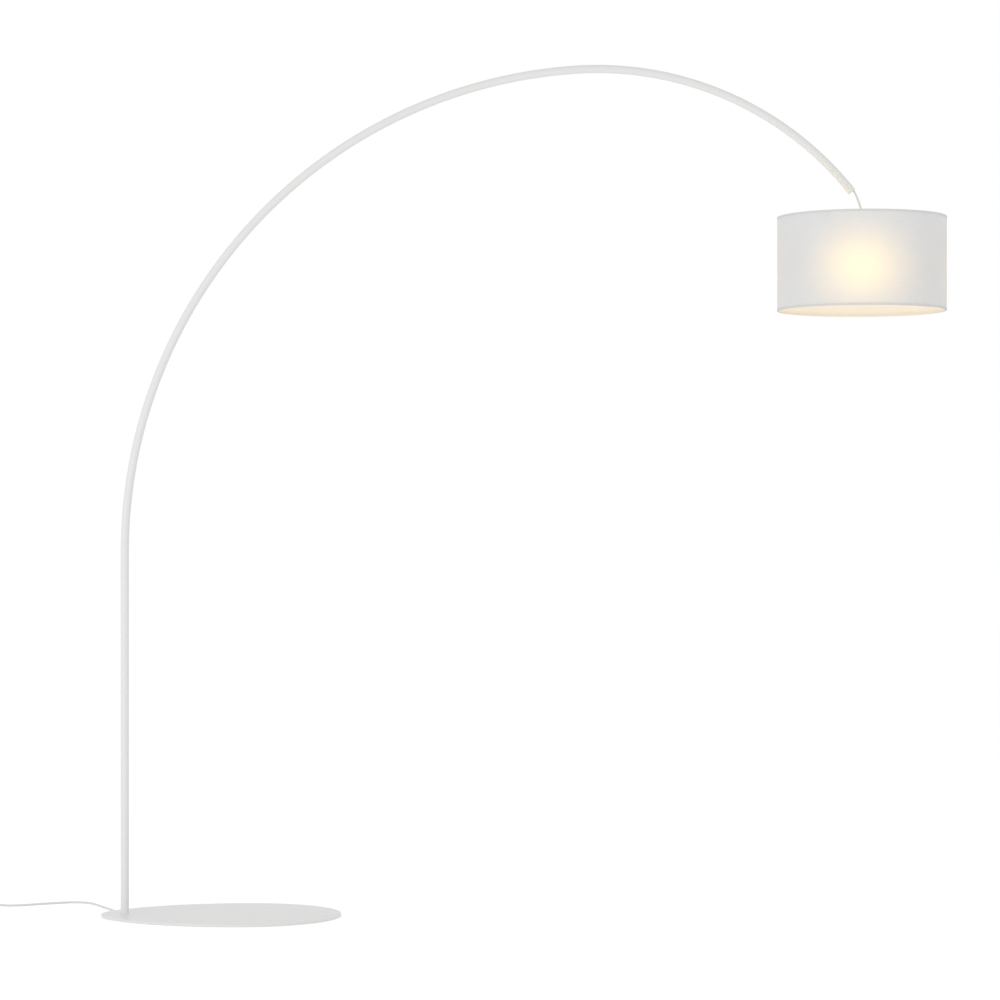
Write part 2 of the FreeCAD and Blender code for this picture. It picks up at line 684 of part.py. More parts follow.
def make_joint_screws():
    """Three grub screws, each threaded in a spigot and flush with the tube's back."""
    seams = [("0", "Sizes.pole_top", "0"), (MIDDLE_X, MIDDLE_Z, HALF_LOWER_ANGLE),
             (APEX_X, APEX_Z, LOWER_ANGLE)]
    screws = []
    for index, (x, z, angle) in enumerate(seams):
        screw = new_body(f"joint_screw_{index}")
        section = new_sketch(screw, f"joint_screw_section_{index}")
        add_circle(section, "Sizes.joint_screw_diameter / 2")
        pad(screw, f"joint_screw_shank_{index}", section, "Sizes.joint_screw_length")
        cut_hex_socket(screw, f"joint_screw_socket_{index}", "Sizes.joint_screw_socket",
                       "Sizes.joint_socket_depth", backwards=True)
        flush = number(f"{TUBE_RADIUS} - Sizes.joint_screw_sink")
        seat = FreeCAD.Placement(Vector(0, flush, size("joint_screw_setback")),
                                 FreeCAD.Rotation(Vector(1, 0, 0), 90))
        seam = FreeCAD.Placement(Vector(number(x), 0, number(z)),
                                 FreeCAD.Rotation(Vector(0, 1, 0), number(angle)))
        screw.Placement = seam.multiply(seat)
        screws.append(screw)
    group = doc.addObject("Part::Compound", "joint_screws")
    group.Label = "joint_screws"
    group.Links = screws


def make_tip_plug():
    """The plug in the arch's end.  Its +Z axis is the tube's direction there, and the cord's
    hole lies towards -X, on the outside of the bend."""
    body = new_body("tip_plug")
    sketch = new_sketch(body, "tip_plug_outline", "XZ_Plane")
    stem = "-Sizes.tip_stem"
    add_outline(sketch, [("0", stem), (f"{PLUG_RADIUS} - Sizes.tip_stem_taper", stem),
                         (PLUG_RADIUS, "0"),
                         (TUBE_RADIUS, "0"), (TUBE_RADIUS, "Sizes.tip_flange"),
                         ("0", "Sizes.tip_flange")])
    turned = revolve(body, "tip_plug_turned", sketch)
    round_edges(body, "tip_plug_rim", turned, "Sizes.tip_rounding",
                lambda edge: is_flat_ring(edge, TUBE_RADIUS, "Sizes.tip_flange"))
    outlet = new_sketch(body, "cord_outlet")
    add_circle(outlet, f"{CORD_RADIUS} + Sizes.outlet_clearance", "-Sizes.cable_offset", "0")
    pocket(body, "cord_outlet_cut", outlet, both_ways=True)
    place(body, TIP_X, "0", TIP_Z, TIP_ANGLE)


# ---------------------------------------------------------------------------------------------
# pole foot

def make_foot_plug():
    """Steel plug pressed into the pole's foot, with three threads and a hole for the cable."""
    body = new_body("foot_plug")
    disc = new_sketch(body, "foot_plug_section")
    add_circle(disc, PLUG_RADIUS)
    add_circle(disc, f"{CORD_RADIUS} + Sizes.groove_clearance")
    pad(body, "foot_plug_length", disc, "Sizes.foot_plug_height")
    mouth = new_sketch(body, "cable_mouth")
    draw_slot(mouth, f"({CORD_RADIUS} + Sizes.groove_clearance)", "Sizes.slot_reach")
    pocket(body, "cable_mouth_cut", mouth, "Sizes.cable_mouth_height", backwards=True)
    thread = new_sketch(body, "foot_thread")
    add_circle(thread, "Sizes.foot_screw_diameter / 2 + Sizes.thread_clearance",
               "0", "-Sizes.foot_screw_radius")
    first = pocket(body, "foot_thread_cut", thread, "Sizes.foot_screw_length", backwards=True)
    polar(body, "foot_threads", first, FOOT_SCREWS, -180)
    place(body, "0", "0", PLATE_TOP, "Sizes.cord_exit_angle", UPRIGHT)


def make_foot_screws():
    """Three countersunk screws, up through the plate into the foot plug."""
    shank = "(Sizes.foot_screw_diameter / 2)"
    head = "(Sizes.foot_screw_head / 2)"
    screws = []
    for index in range(FOOT_SCREWS):
        body = new_body(f"foot_screw_{index}")
        sketch = new_sketch(body, f"foot_screw_outline_{index}", "XZ_Plane")
        add_outline(sketch, [("0", "0"), (head, "0"), (shank, f"{head} - {shank}"),
                             (shank, "Sizes.foot_screw_length"), ("0", "Sizes.foot_screw_length")])
        revolve(body, f"foot_screw_turned_{index}", sketch)
        cut_hex_socket(body, f"foot_screw_socket_{index}", "Sizes.foot_screw_socket",
                       "Sizes.foot_socket_depth", backwards=True)
        turn = math.radians(size("cord_exit_angle") + 90 * (index + 1))
        reach = size("foot_screw_radius")
        body.Placement.Base = Vector(reach * math.cos(turn), reach * math.sin(turn),
                                     size("pad_height") + size("foot_screw_gap"))
        screws.append(body)
    group = doc.addObject("Part::Compound", "foot_screws")
    group.Label = "foot_screws"
    group.Links = screws


def make_cable_tie():
    """Nylon tie round the cable, which rests on the foot plug and takes a pull on the cord."""
    body = new_body("cable_tie")
    sketch = new_sketch(body, "cable_tie_section")
    inner = f"({CORD_RADIUS} + Sizes.cable_tie_clearance)"
    draw_ring(sketch, f"{inner} + Sizes.cable_tie_thickness", inner)
    pad(body, "cable_tie_band", sketch, "Sizes.cable_tie_width")
    head = new_sketch(body, "cable_tie_head_section")
    near = f"({inner} + Sizes.cable_tie_thickness / 2)"
    far = f"({near} + Sizes.cable_tie_head)"
    half = "(Sizes.cable_tie_head_width / 2)"
    add_outline(head, [(near, f"-{half}"), (far, f"-{half}"), (far, half), (near, half)])
    pad(body, "cable_tie_head", head, "Sizes.cable_tie_width")
    place(body, z=f"{PLATE_TOP} + Sizes.foot_plug_height + Sizes.cable_tie_gap")


# ---------------------------------------------------------------------------------------------
# cords: straight runs joined by tangent arcs

def corner(before, point, after, radius=None):
    """The arc that rounds a corner: its start, middle and end, and its radius.

    Without a radius of its own, the arc is as large as its shorter run allows."""
    towards = (before - point).normalize()
    onwards = (after - point).normalize()
    turn = math.pi - towards.getAngle(onwards)
    if radius is None:
        shorter = min((before - point).Length, (after - point).Length)
        radius = 0.45 * shorter / math.tan(turn / 2)
    tangent = radius * math.tan(turn / 2)
    inwards = (towards + onwards).normalize()
    centre = point + inwards * (radius / math.cos(turn / 2))
    return (point + towards * tangent, centre - inwards * radius, point + onwards * tangent,
            radius)


def cord_line(points, radii):
    """The wire of straight runs and arcs through a list of points."""
    edges = []
    here = points[0]
    used = []
    for index in range(1, len(points) - 1):
        start, middle, end, radius = corner(points[index - 1], points[index],
                                            points[index + 1], radii.get(index))
        used.append(radius)
        if (start - here).Length > 0.001:
            edges.append(Part.LineSegment(here, start).toShape())
        edges.append(Part.Arc(start, middle, end).toShape())
        here = end
    if (points[-1] - here).Length > 0.001:
        edges.append(Part.LineSegment(here, points[-1]).toShape())
    return Part.Wire(edges), used


def make_cord(label, points, radii=None, ball_ends=False):
    """A plain round tube along the points.  Its ends are flat, or rounded as half balls."""
    line, used = cord_line(points, radii or {})
    radius = number(CORD_RADIUS)
    direction = points[1] - points[0]
    section = Part.Wire([Part.makeCircle(radius, points[0], direction)])
    solid = line.makePipeShell([section], True, True)
    expected = math.pi * radius ** 2 * line.Length
    if abs(solid.Volume / expected - 1) > 0.002:
        raise RuntimeError(f"{label}: {solid.Volume:.0f} mm3, not {expected:.0f}")
    print(f"{label}: {line.Length:.0f} mm, arc radii", [round(value) for value in used])
    if ball_ends:
        ends = [Part.makeSphere(radius, points[0]), Part.makeSphere(radius, points[-1])]
        solid = solid.fuse(ends).removeSplitter()
    cord = doc.addObject("Part::Feature", label)
    cord.Label = label
    cord.Shape = solid
    cord.Placement = FreeCAD.Placement()


def tip_frame():
    """The arch's end: its centre, its direction, and the direction of its outer side."""
    angle = math.radians(number(TIP_ANGLE))
    centre = Vector(number(TIP_X), 0, number(TIP_Z))
    along = Vector(math.sin(angle), 0, math.cos(angle))
    outward = Vector(-math.cos(angle), 0, math.sin(angle))
    return centre, along, outward


def make_inner_cable():
    """The cable inside the lamp: in along the plate's groove, up the pole and round the arch."""
    height = number(CORD_RADIUS)
    offset = size("cable_offset")
    turn = math.radians(size("cord_exit_angle"))
    reach = rim_reach()
    lower = size("lower_arch_radius") + offset
    upper = size("upper_arch_radius") + offset
    lower_turn = math.radians(size("lower_arch_angle"))
    upper_turn = math.radians(size("upper_arch_angle"))
    springing = Vector(-offset, 0, size("pole_top"))
    centre, along, outward = tip_frame()
    end = centre + outward * offset
    points = [
        Vector(reach * math.cos(turn), reach * math.sin(turn), height),
        Vector(0, 0, height),
        Vector(0, 0, size("cable_shift_start")),
        Vector(-offset, 0, size("cable_shift_end")),
        springing + Vector(0, 0, lower * math.tan(lower_turn / 2)),
        end - along * (upper * math.tan(upper_turn / 2)),
        end,
    ]
    shift = size("cable_shift_radius")
    make_cord("inner_cable", points,
              {1: size("foot_bend_radius"), 2: shift, 3: shift, 4: lower, 5: upper})


def pendant_points():
    """The stretch of cord between the arch's end and the lampholder."""
    centre, along, outward = tip_frame()
    outlet = centre + outward * size("cable_offset") + along * size("tip_flange")
    grip = Vector(number(GRIP_X), 0, number(GRIP_Z))
    lead_in = Vector(0, 0, size("pendant_lead_in"))
    return [outlet, outlet + along * size("pendant_lead_out"), grip + lead_in, grip]


# ---------------------------------------------------------------------------------------------
# lampholder: every piece is drawn downward from the mouth of the cord grip, on the shade's axis

CAP_FOOT = "(Sizes.grip_height + Sizes.cap_height)"
FITTER_TOP = f"({CAP_FOOT} + Sizes.shoulder_thickness)"
FITTER_FOOT = f"({FITTER_TOP} + Sizes.fitter_thickness)"
INSERT_FOOT = f"({CAP_FOOT} + Sizes.insert_depth)"
CONTACT_FOOT = f"({INSERT_FOOT} + Sizes.insert_boss_depth + Sizes.contact_thickness)"
BULB_CAP_FOOT = f"({CONTACT_FOOT} + Sizes.bulb_cap_length)"
SHADE_TOP = "Sizes.shade_rise"
SHADE_FOOT = "(Sizes.shade_rise - Sizes.shade_height)"


def hang(piece):
    place(piece, GRIP_X, "0", GRIP_Z)


def make_cord_grip():
    inner = f"({CORD_RADIUS} + Sizes.grip_clearance)"
    foot = "-Sizes.grip_height"
    body = turned_piece("cord_grip", [
        (inner, "0"), ("Sizes.grip_radius", "0"), ("Sizes.grip_radius", "-Sizes.grip_height / 2"),
        ("Sizes.cap_top_radius", "-Sizes.grip_height / 2 - Sizes.grip_flare"),
        ("Sizes.cap_top_radius", foot), (inner, foot)],
        [("Sizes.grip_radius", "0", "Sizes.grip_rounding")])
    hole = new_sketch(body, "grip_screw_hole", "XZ_Plane")
    add_circle(hole, "Sizes.grip_screw_diameter / 2 + Sizes.thread_clearance",
               "0", "-Sizes.grip_height + Sizes.grip_screw_height")
    pocket(body, "grip_screw_hole_cut", hole, "Sizes.cap_top_radius")
    hang(body)


def make_grip_screw():
    """Nylon screw in the side of the cord grip, which holds the cord."""
    screw = doc.addObject("Part::Cylinder", "grip_screw")
    screw.Label = "grip_screw"
    screw.setExpression("Radius", "Sizes.grip_screw_diameter / 2")
    screw.setExpression("Height",
                        f"Sizes.cap_top_radius - {CORD_RADIUS} - Sizes.grip_screw_gap")
    place(screw, GRIP_X, "Sizes.cap_top_radius",
          f"{GRIP_Z} - Sizes.grip_height + Sizes.grip_screw_height", "90", Vector(1, 0, 0))


def make_holder_lead():
    """The end of the cord inside the lampholder, from the grip to the terminals."""
    lead = doc.addObject("Part::Cylinder", "holder_lead")
    lead.Label = "holder_lead"
    foot = f"({CAP_FOOT} - Sizes.insert_rise)"
    lead.setExpression("Radius", CORD_RADIUS)
    lead.setExpression("Height", f"{foot} - {CORD_RADIUS} - Sizes.lead_gap")
    place(lead, GRIP_X, "0", f"{GRIP_Z} - {foot}")


def make_holder_cap():
    """Domed upper half of the lampholder.  Its inside follows its outside, one wall in."""
    top = "-Sizes.grip_height"
    foot = f"-{CAP_FOOT}"
    shoulder = f"({foot} + Sizes.cap_skirt_height)"
    crown = "(Sizes.cap_top_radius + Sizes.cap_crown_reach)"
    slope = f"({top} - Sizes.cap_crown_drop)"
    inner_top = f"({top} - Sizes.cap_wall)"
    hole = f"({CORD_RADIUS} + Sizes.grip_clearance)"
    inner = "(Sizes.cap_radius - Sizes.cap_wall)"
    body = turned_piece("holder_cap", [
        (hole, top), ("Sizes.cap_top_radius", top), (crown, slope),
        ("Sizes.cap_radius", shoulder), ("Sizes.cap_radius", foot), (inner, foot),
        (inner, f"{shoulder} - Sizes.cap_wall / 4"),
        (f"{crown} - Sizes.cap_wall * 0.7", f"{slope} - Sizes.cap_wall * 0.75"),
        ("Sizes.cap_top_radius - Sizes.cap_wall / 2", inner_top), (hole, inner_top)],
        [("Sizes.cap_radius", shoulder, "Sizes.cap_rounding"),
         (crown, slope, "Sizes.cap_rounding")])
    hang(body)


def make_holder_insert():
    """Moulded insert that carries the terminals, the screw shell and the centre contact."""
    head = f"-({CAP_FOOT} - Sizes.insert_rise)"
    foot = f"-{INSERT_FOOT}"
    boss = f"({foot} - Sizes.insert_boss_depth)"
    neck = "(Sizes.insert_radius - Sizes.insert_step)"
    step = f"({head} - Sizes.insert_step_height)"
    body = turned_piece("holder_insert", [
        ("0", head), (neck, head), (neck, step),
        ("Sizes.insert_radius", step), ("Sizes.insert_radius", foot),
        ("Sizes.insert_boss_radius", foot), ("Sizes.insert_boss_radius", boss), ("0", boss)])
    notch = new_sketch(body, "terminal_notch", height=head)
    half = "(Sizes.terminal_notch_width / 2)"
    reach = "Sizes.terminal_notch_reach"
    add_outline(notch, [(reach, f"-{half}"), ("Sizes.insert_radius", f"-{half}"),
                        ("Sizes.insert_radius", half), (reach, half)])
    first = pocket(body, "terminal_notch_cut", notch, "Sizes.terminal_notch_depth")
    polar(body, "terminal_notches", first, 2)
    hang(body)


def make_contacts():
    shell_top = f"-{INSERT_FOOT}"
    shell_foot = f"({shell_top} - Sizes.screw_shell_length)"
    outer = "Sizes.screw_shell_radius"
    inner = "(Sizes.screw_shell_radius - Sizes.screw_shell_wall)"
    hang(turned_piece("screw_shell", [(inner, shell_top), (outer, shell_top),
                                      (outer, shell_foot), (inner, shell_foot)]))
    contact = doc.addObject("Part::Cylinder", "centre_contact")
    contact.Label = "centre_contact"
    contact.setExpression("Radius", "Sizes.contact_radius")
    contact.setExpression("Height", "Sizes.contact_thickness")
    place(contact, GRIP_X, "0", f"{GRIP_Z} - {CONTACT_FOOT}")


def make_holder_skirt():
    """Threaded sleeve under the cap.  Its shoulder lies on the shade's fitter ring."""
    top = f"-{CAP_FOOT}"
    ledge = f"-{INSERT_FOOT}"
    foot = f"({top} - Sizes.skirt_length)"
    inner = "(Sizes.skirt_radius - Sizes.skirt_wall)"
    seat = "(Sizes.insert_radius + Sizes.slip_clearance)"
    body = turned_piece("holder_skirt", [
        (seat, top), ("Sizes.shoulder_radius", top),
        ("Sizes.shoulder_radius", f"-{FITTER_TOP}"), ("Sizes.skirt_radius", f"-{FITTER_TOP}"),
        ("Sizes.skirt_radius", foot), (inner, foot), (inner, ledge), (seat, ledge)],
        [("Sizes.skirt_radius", foot, "Sizes.skirt_rounding")])
    hang(body)


def make_ring_nut():
    """Shade ring nut, with grip notches round its rim."""
    top = f"-{FITTER_FOOT}"
    foot = f"({top} - Sizes.ring_nut_height)"
    flange = f"({top} - Sizes.ring_nut_flange)"
    inner = "(Sizes.skirt_radius + Sizes.ring_nut_clearance)"
    body = turned_piece("ring_nut", [
        (inner, top), ("Sizes.ring_nut_flange_radius", top),
        ("Sizes.ring_nut_flange_radius", flange), ("Sizes.ring_nut_radius", flange),
        ("Sizes.ring_nut_radius", foot), (inner, foot)],
        [("Sizes.ring_nut_radius", foot, "Sizes.ring_nut_rounding")])
    notch = new_sketch(body, "grip_notch", height=f"{flange} - Sizes.grip_notch_start")
    add_circle(notch, "Sizes.grip_notch_radius",
               "Sizes.ring_nut_radius + Sizes.grip_notch_setback", "0")
    first = pocket(body, "grip_notch_cut", notch, "Sizes.ring_nut_height")
    polar(body, "grip_notches", first, GRIP_NOTCHES)
    hang(body)


# ---------------------------------------------------------------------------------------------
# bulb

def make_bulb_globe():
    """Frosted glass: a ball, and a waist whose arc is tangent to the ball and to the neck.
    The neck's wall thickens towards the rim, where it sits on the screw cap."""
    body = new_body("bulb_globe")
    ball = size("bulb_radius")
    waist = size("bulb_waist_radius")
    neck = size("bulb_neck_radius")
    wall = size("bulb_glass")
    rim = -number(BULB_CAP_FOOT)
    centre = Vector(0, -number(CONTACT_FOOT) - size("bulb_length") + ball, 0)
    rise = math.sqrt((ball + waist) ** 2 - (neck + waist) ** 2)
    waist_centre = centre + Vector(neck + waist, rise, 0)
    lean = (waist_centre - centre).normalize()

    ball_side = math.atan2(-lean.y, -lean.x)
    between = (ball_side - math.pi) / 2
    half_bent = Vector(math.cos(between), math.sin(between), 0)

    def side(inset, top_radius):
        """The profile's curves from the bottom to the rim, at a depth under the surface."""
        bottom = centre - Vector(0, ball - inset, 0)
        middle = centre + Vector(ball - inset, 0, 0)
        tangent = centre + lean * (ball - inset)
        halfway = waist_centre + half_bent * (waist + inset)
        throat = Vector(neck - inset, waist_centre.y, 0)
        top = Vector(top_radius, rim, 0)
        curves = [Part.Arc(bottom, middle, tangent), Part.Arc(tangent, halfway, throat),
                  Part.LineSegment(throat, top)]
        return curves, bottom, top

    outside, bottom, top = side(0, neck)
    seat = size("bulb_cap_radius") - wall
    inside, inner_bottom, inner_top = side(wall, seat)
    sketch = new_sketch(body, "bulb_outline", "XZ_Plane")
    for curve in outside + inside:
        sketch.addGeometry(curve)
    sketch.addGeometry(Part.LineSegment(bottom, inner_bottom))
    sketch.addGeometry(Part.LineSegment(top, inner_top))
    for index in range(sketch.GeometryCount):
        sketch.addConstraint(Sketcher.Constraint("Block", index))
    revolve(body, "bulb_turned", sketch)
    hang(body)


def make_bulb_cap():
    """Screw cap with its glass insulator as one piece, and the tip contact as another."""
    top = f"-({CONTACT_FOOT} + Sizes.bulb_tip_height)"
    rim = f"-{BULB_CAP_FOOT}"
    step = f"({top} - Sizes.bulb_insulator_height)"
    body = turned_piece("bulb_cap", [
        ("0", top), ("Sizes.contact_radius", top),
        ("Sizes.bulb_cap_radius - Sizes.bulb_insulator_taper", step),
        ("Sizes.bulb_cap_radius - Sizes.bulb_cap_chamfer", step),
        ("Sizes.bulb_cap_radius", f"{step} - Sizes.bulb_cap_chamfer"),
        ("Sizes.bulb_cap_radius", rim), ("0", rim)])
    hang(body)
    tip = doc.addObject("Part::Cone", "bulb_tip")
    tip.Label = "bulb_tip"
    tip.setExpression("Radius1", "Sizes.contact_radius")
    tip.setExpression("Radius2", "Sizes.contact_radius - Sizes.bulb_tip_taper")
    tip.setExpression("Height", "Sizes.bulb_tip_height")
    place(tip, GRIP_X, "0", f"{GRIP_Z} - {CONTACT_FOOT} - Sizes.bulb_tip_height")


# ---------------------------------------------------------------------------------------------
# shade

WIRE_RADIUS = "(Sizes.ring_wire / 2)"
SKIN_INSIDE = "(Sizes.shade_radius - Sizes.shade_skin)"
RING_RADIUS = f"({SKIN_INSIDE} - Sizes.ring_clearance - {WIRE_RADIUS})"
RING_INSET = f"(Sizes.trim_thickness + Sizes.ring_clearance / 2 + {WIRE_RADIUS})"


def make_shade_carrier():
    """Top ring of the shade, welded to a dropped fitter ring by three bent spokes."""
    body = new_body("shade_carrier")
    fitter = new_sketch(body, "fitter_outline", "XZ_Plane")
    inner = "(Sizes.skirt_radius + Sizes.fitter_clearance)"
    add_outline(fitter, [(inner, f"-{FITTER_FOOT}"), ("Sizes.fitter_radius", f"-{FITTER_FOOT}"),
                         ("Sizes.fitter_radius", f"-{FITTER_TOP}"), (inner, f"-{FITTER_TOP}")])
    revolve(body, "fitter_ring", fitter)

    start = Vector(size("fitter_radius") - size("spoke_weld"),
                   size("spoke_rise") - number(FITTER_TOP), 0)
    bend = Vector(size("spoke_bend_reach"), start.y, 0)
    end = Vector(number(RING_RADIUS), number(f"{SHADE_TOP} - {RING_INSET}"), 0)
    begin, middle, finish, _ = corner(start, bend, end, size("spoke_bend_radius"))
    path = new_sketch(body, "spoke_path", "XZ_Plane")
    path.addGeometry(Part.LineSegment(start, begin))
    path.addGeometry(Part.Arc(begin, middle, finish))
    path.addGeometry(Part.LineSegment(finish, end))
    for index in range(path.GeometryCount):
        path.addConstraint(Sketcher.Constraint("Block", index))
    section = new_sketch(body, "spoke_section", "YZ_Plane", height=str(start.x))
    add_circle(section, "Sizes.spoke_wire / 2", "0", str(start.y))
    spoke = body.newObject("PartDesign::AdditivePipe", "spoke")
    spoke.Profile = section
    spoke.Spine = path
    body.Tip = spoke
    polar(body, "spokes", spoke, SPOKES)

    ring = new_sketch(body, "top_ring_section", "XZ_Plane")
    add_circle(ring, WIRE_RADIUS, RING_RADIUS, f"{SHADE_TOP} - {RING_INSET}")
    revolve(body, "top_ring", ring)
    hang(body)


def make_bottom_ring():
    body = new_body("shade_bottom_ring")
    ring = new_sketch(body, "bottom_ring_section", "XZ_Plane")
    add_circle(ring, WIRE_RADIUS, RING_RADIUS, f"{SHADE_FOOT} + {RING_INSET}")
    revolve(body, "bottom_ring", ring)
    hang(body)


def make_shade_drum():
    """The fabric-covered skin between the two wire rings."""
    top = f"({SHADE_TOP} - Sizes.trim_thickness)"
    foot = f"({SHADE_FOOT} + Sizes.trim_thickness)"
    hang(turned_piece("shade_drum", [(SKIN_INSIDE, foot), ("Sizes.shade_radius", foot),
                                     ("Sizes.shade_radius", top), (SKIN_INSIDE, top)]))


def make_shade_trim(label, edge, way, for_spokes=False):
    """Bias tape folded over one edge of the skin and round the wire ring.

    way is + where the tape runs up from the edge, and - where it runs down.  for_spokes cuts
    the tape's inner side where the three spokes reach the ring."""
    outer = "(Sizes.shade_radius + Sizes.trim_thickness)"
    back = f"({RING_RADIUS} - {WIRE_RADIUS} - Sizes.ring_clearance)"
    inner = f"({back} - Sizes.trim_thickness)"
    web = f"({edge} {way} Sizes.trim_thickness)"
    hem = f"({edge} {way} Sizes.trim_height)"
    body = turned_piece(label, [
        (inner, edge), (outer, edge), (outer, hem), ("Sizes.shade_radius", hem),
        ("Sizes.shade_radius", web), (back, web), (back, hem), (inner, hem)])
    if for_spokes:
        gap = new_sketch(body, "spoke_gap", "YZ_Plane")
        half = "(Sizes.spoke_wire / 2 + Sizes.spoke_gap_clearance)"
        add_outline(gap, [(f"-{half}", hem), (half, hem), (half, web), (f"-{half}", web)])
        first = pocket(body, "spoke_gap_cut", gap, RING_RADIUS, backwards=True)
        polar(body, "spoke_gaps", first, SPOKES)
    hang(body)


# ---------------------------------------------------------------------------------------------
# foot switch

def cut_inlets(body, name):
    """The round notches in both side walls, where the strain reliefs sit."""
    notch = new_sketch(body, name, "YZ_Plane")
    add_circle(notch, "Sizes.relief_radius + Sizes.slip_clearance", "0", "Sizes.switch_parting")
    pocket(body, f"{name}_cut", notch, both_ways=True)


def make_switch_base():
    """Lower shell, with a well for each screw head."""
    wall = "Sizes.switch_wall"
    radius = "Sizes.switch_radius"
    part = "Sizes.switch_parting"
    body = turned_piece("switch_base", [
        ("0", "0"), (radius, "0"), (radius, part), (f"{radius} - {wall}", part),
        (f"{radius} - {wall}", wall), ("0", wall)],
        [(radius, "0", "Sizes.switch_foot_rounding")])
    hole = new_sketch(body, "switch_screw_hole")
    add_circle(hole, "Sizes.switch_screw_radius + Sizes.switch_hole_clearance", "0",
               "Sizes.switch_boss_circle")
    first = pocket(body, "switch_screw_hole_cut", hole, backwards=True)
    polar(body, "switch_screw_holes", first, SWITCH_SCREWS)
    well = new_sketch(body, "switch_screw_well")
    add_circle(well, "Sizes.switch_screw_head_radius + Sizes.switch_well_clearance", "0",
               "Sizes.switch_boss_circle")
    sunk = pocket(body, "switch_screw_well_cut", well, "Sizes.switch_screw_head", backwards=True)
    polar(body, "switch_screw_wells", sunk, SWITCH_SCREWS)
    cut_inlets(body, "base_inlets")
    place(body, "Sizes.switch_x", "Sizes.switch_y")


def make_switch_cover():
    """Upper shell: a dome with a round opening for the button and three screw bosses.  Its
    inside follows its outside, one wall in."""
    wall = "Sizes.switch_wall"
    radius = "Sizes.switch_radius"
    top = "Sizes.switch_height"
    hole = "(Sizes.button_radius + Sizes.button_clearance)"
    crown = f"({hole} + Sizes.switch_crown)"
    shoulder = "Sizes.switch_shoulder_height"
    body = turned_piece("switch_cover", [
        (radius, "Sizes.switch_parting"), (radius, shoulder), (crown, top), (hole, top),
        (hole, f"{top} - {wall}"), (f"{crown} - {wall} * 0.3", f"{top} - {wall}"),
        (f"{radius} - {wall}", f"{shoulder} - {wall} * 0.45"),
        (f"{radius} - {wall}", "Sizes.switch_parting")],
        [(radius, shoulder, "Sizes.switch_rounding"), (crown, top, "Sizes.switch_rounding")])
    boss = new_sketch(body, "screw_boss", height=wall)
    add_circle(boss, "Sizes.switch_boss_radius", "0", "Sizes.switch_boss_circle")
    post = pad(body, "screw_boss_post", boss, f"{shoulder} - {wall}")
    post.Type = "UpToFirst"
    polar(body, "screw_bosses", post, SWITCH_SCREWS)
    thread = new_sketch(body, "screw_boss_thread", height=wall)
    add_circle(thread, "Sizes.switch_screw_radius + Sizes.thread_clearance", "0",
               "Sizes.switch_boss_circle")
    first = pocket(body, "screw_boss_thread_cut", thread, "Sizes.switch_screw_length",
                   backwards=True)
    polar(body, "screw_boss_threads", first, SWITCH_SCREWS)
    cut_inlets(body, "cover_inlets")
    place(body, "Sizes.switch_x", "Sizes.switch_y")


def make_switch_button():
    """Push button.  Its flange catches under the cover's lip, so it can't fall out."""
    rest = "(Sizes.switch_height + Sizes.button_stand)"
    lip = "(Sizes.switch_height - Sizes.switch_wall - Sizes.button_flange_gap)"
    flange = "(Sizes.button_radius + Sizes.button_flange_overlap)"
    foot = f"({lip} - Sizes.button_flange)"
    inner = "(Sizes.button_radius - Sizes.button_wall)"
    ceiling = f"({rest} - Sizes.button_wall)"
    rim = f"({rest} - Sizes.button_crown)"
    body = turned_piece("switch_button", [
        ("0", rest), ("Sizes.button_radius", rim), ("Sizes.button_radius", lip),
        (flange, lip), (flange, foot), (inner, foot),
        (inner, f"{ceiling} - Sizes.button_crown"), ("0", ceiling)],
        [("Sizes.button_radius", rim, "Sizes.button_rounding")])
    place(body, "Sizes.switch_x", "Sizes.switch_y")


def make_switch_works():
    """The switch module on the lower shell, and the button's plunger that runs in its bore."""
    floor = "Sizes.switch_wall"
    body = new_body("switch_module")
    block = new_sketch(body, "module_outline", height=floor)
    half_length = "(Sizes.module_length / 2)"
    half_width = "(Sizes.module_width / 2)"
    add_outline(block, [(f"-{half_length}", f"-{half_width}"), (half_length, f"-{half_width}"),
                        (half_length, half_width), (f"-{half_length}", half_width)])
    pad(body, "module_block", block, "Sizes.module_height")
    bore = new_sketch(body, "plunger_bore", height=f"{floor} + Sizes.module_height")
    add_circle(bore, "Sizes.plunger_radius + Sizes.plunger_clearance")
    pocket(body, "plunger_bore_cut", bore, "Sizes.module_height - Sizes.module_bore_floor")
    place(body, "Sizes.switch_x", "Sizes.switch_y")

    plunger = doc.addObject("Part::Cylinder", "switch_plunger")
    plunger.Label = "switch_plunger"
    ceiling = "(Sizes.switch_height + Sizes.button_stand - Sizes.button_wall)"
    plunger.setExpression("Radius", "Sizes.plunger_radius")
    plunger.setExpression("Height",
                          f"{ceiling} - Sizes.plunger_gap - Sizes.plunger_bottom")
    place(plunger, "Sizes.switch_x", "Sizes.switch_y", "Sizes.plunger_bottom")


def draw_cross(sketch, arm, reach):
    """A cross with arms of half width arm, out to reach."""
    add_outline(sketch, [
        (arm, arm), (arm, reach), (f"-{arm}", reach), (f"-{arm}", arm), (f"-{reach}", arm),
        (f"-{reach}", f"-{arm}"), (f"-{arm}", f"-{arm}"), (f"-{arm}", f"-{reach}"),
        (arm, f"-{reach}"), (arm, f"-{arm}"), (reach, f"-{arm}"), (reach, arm)])


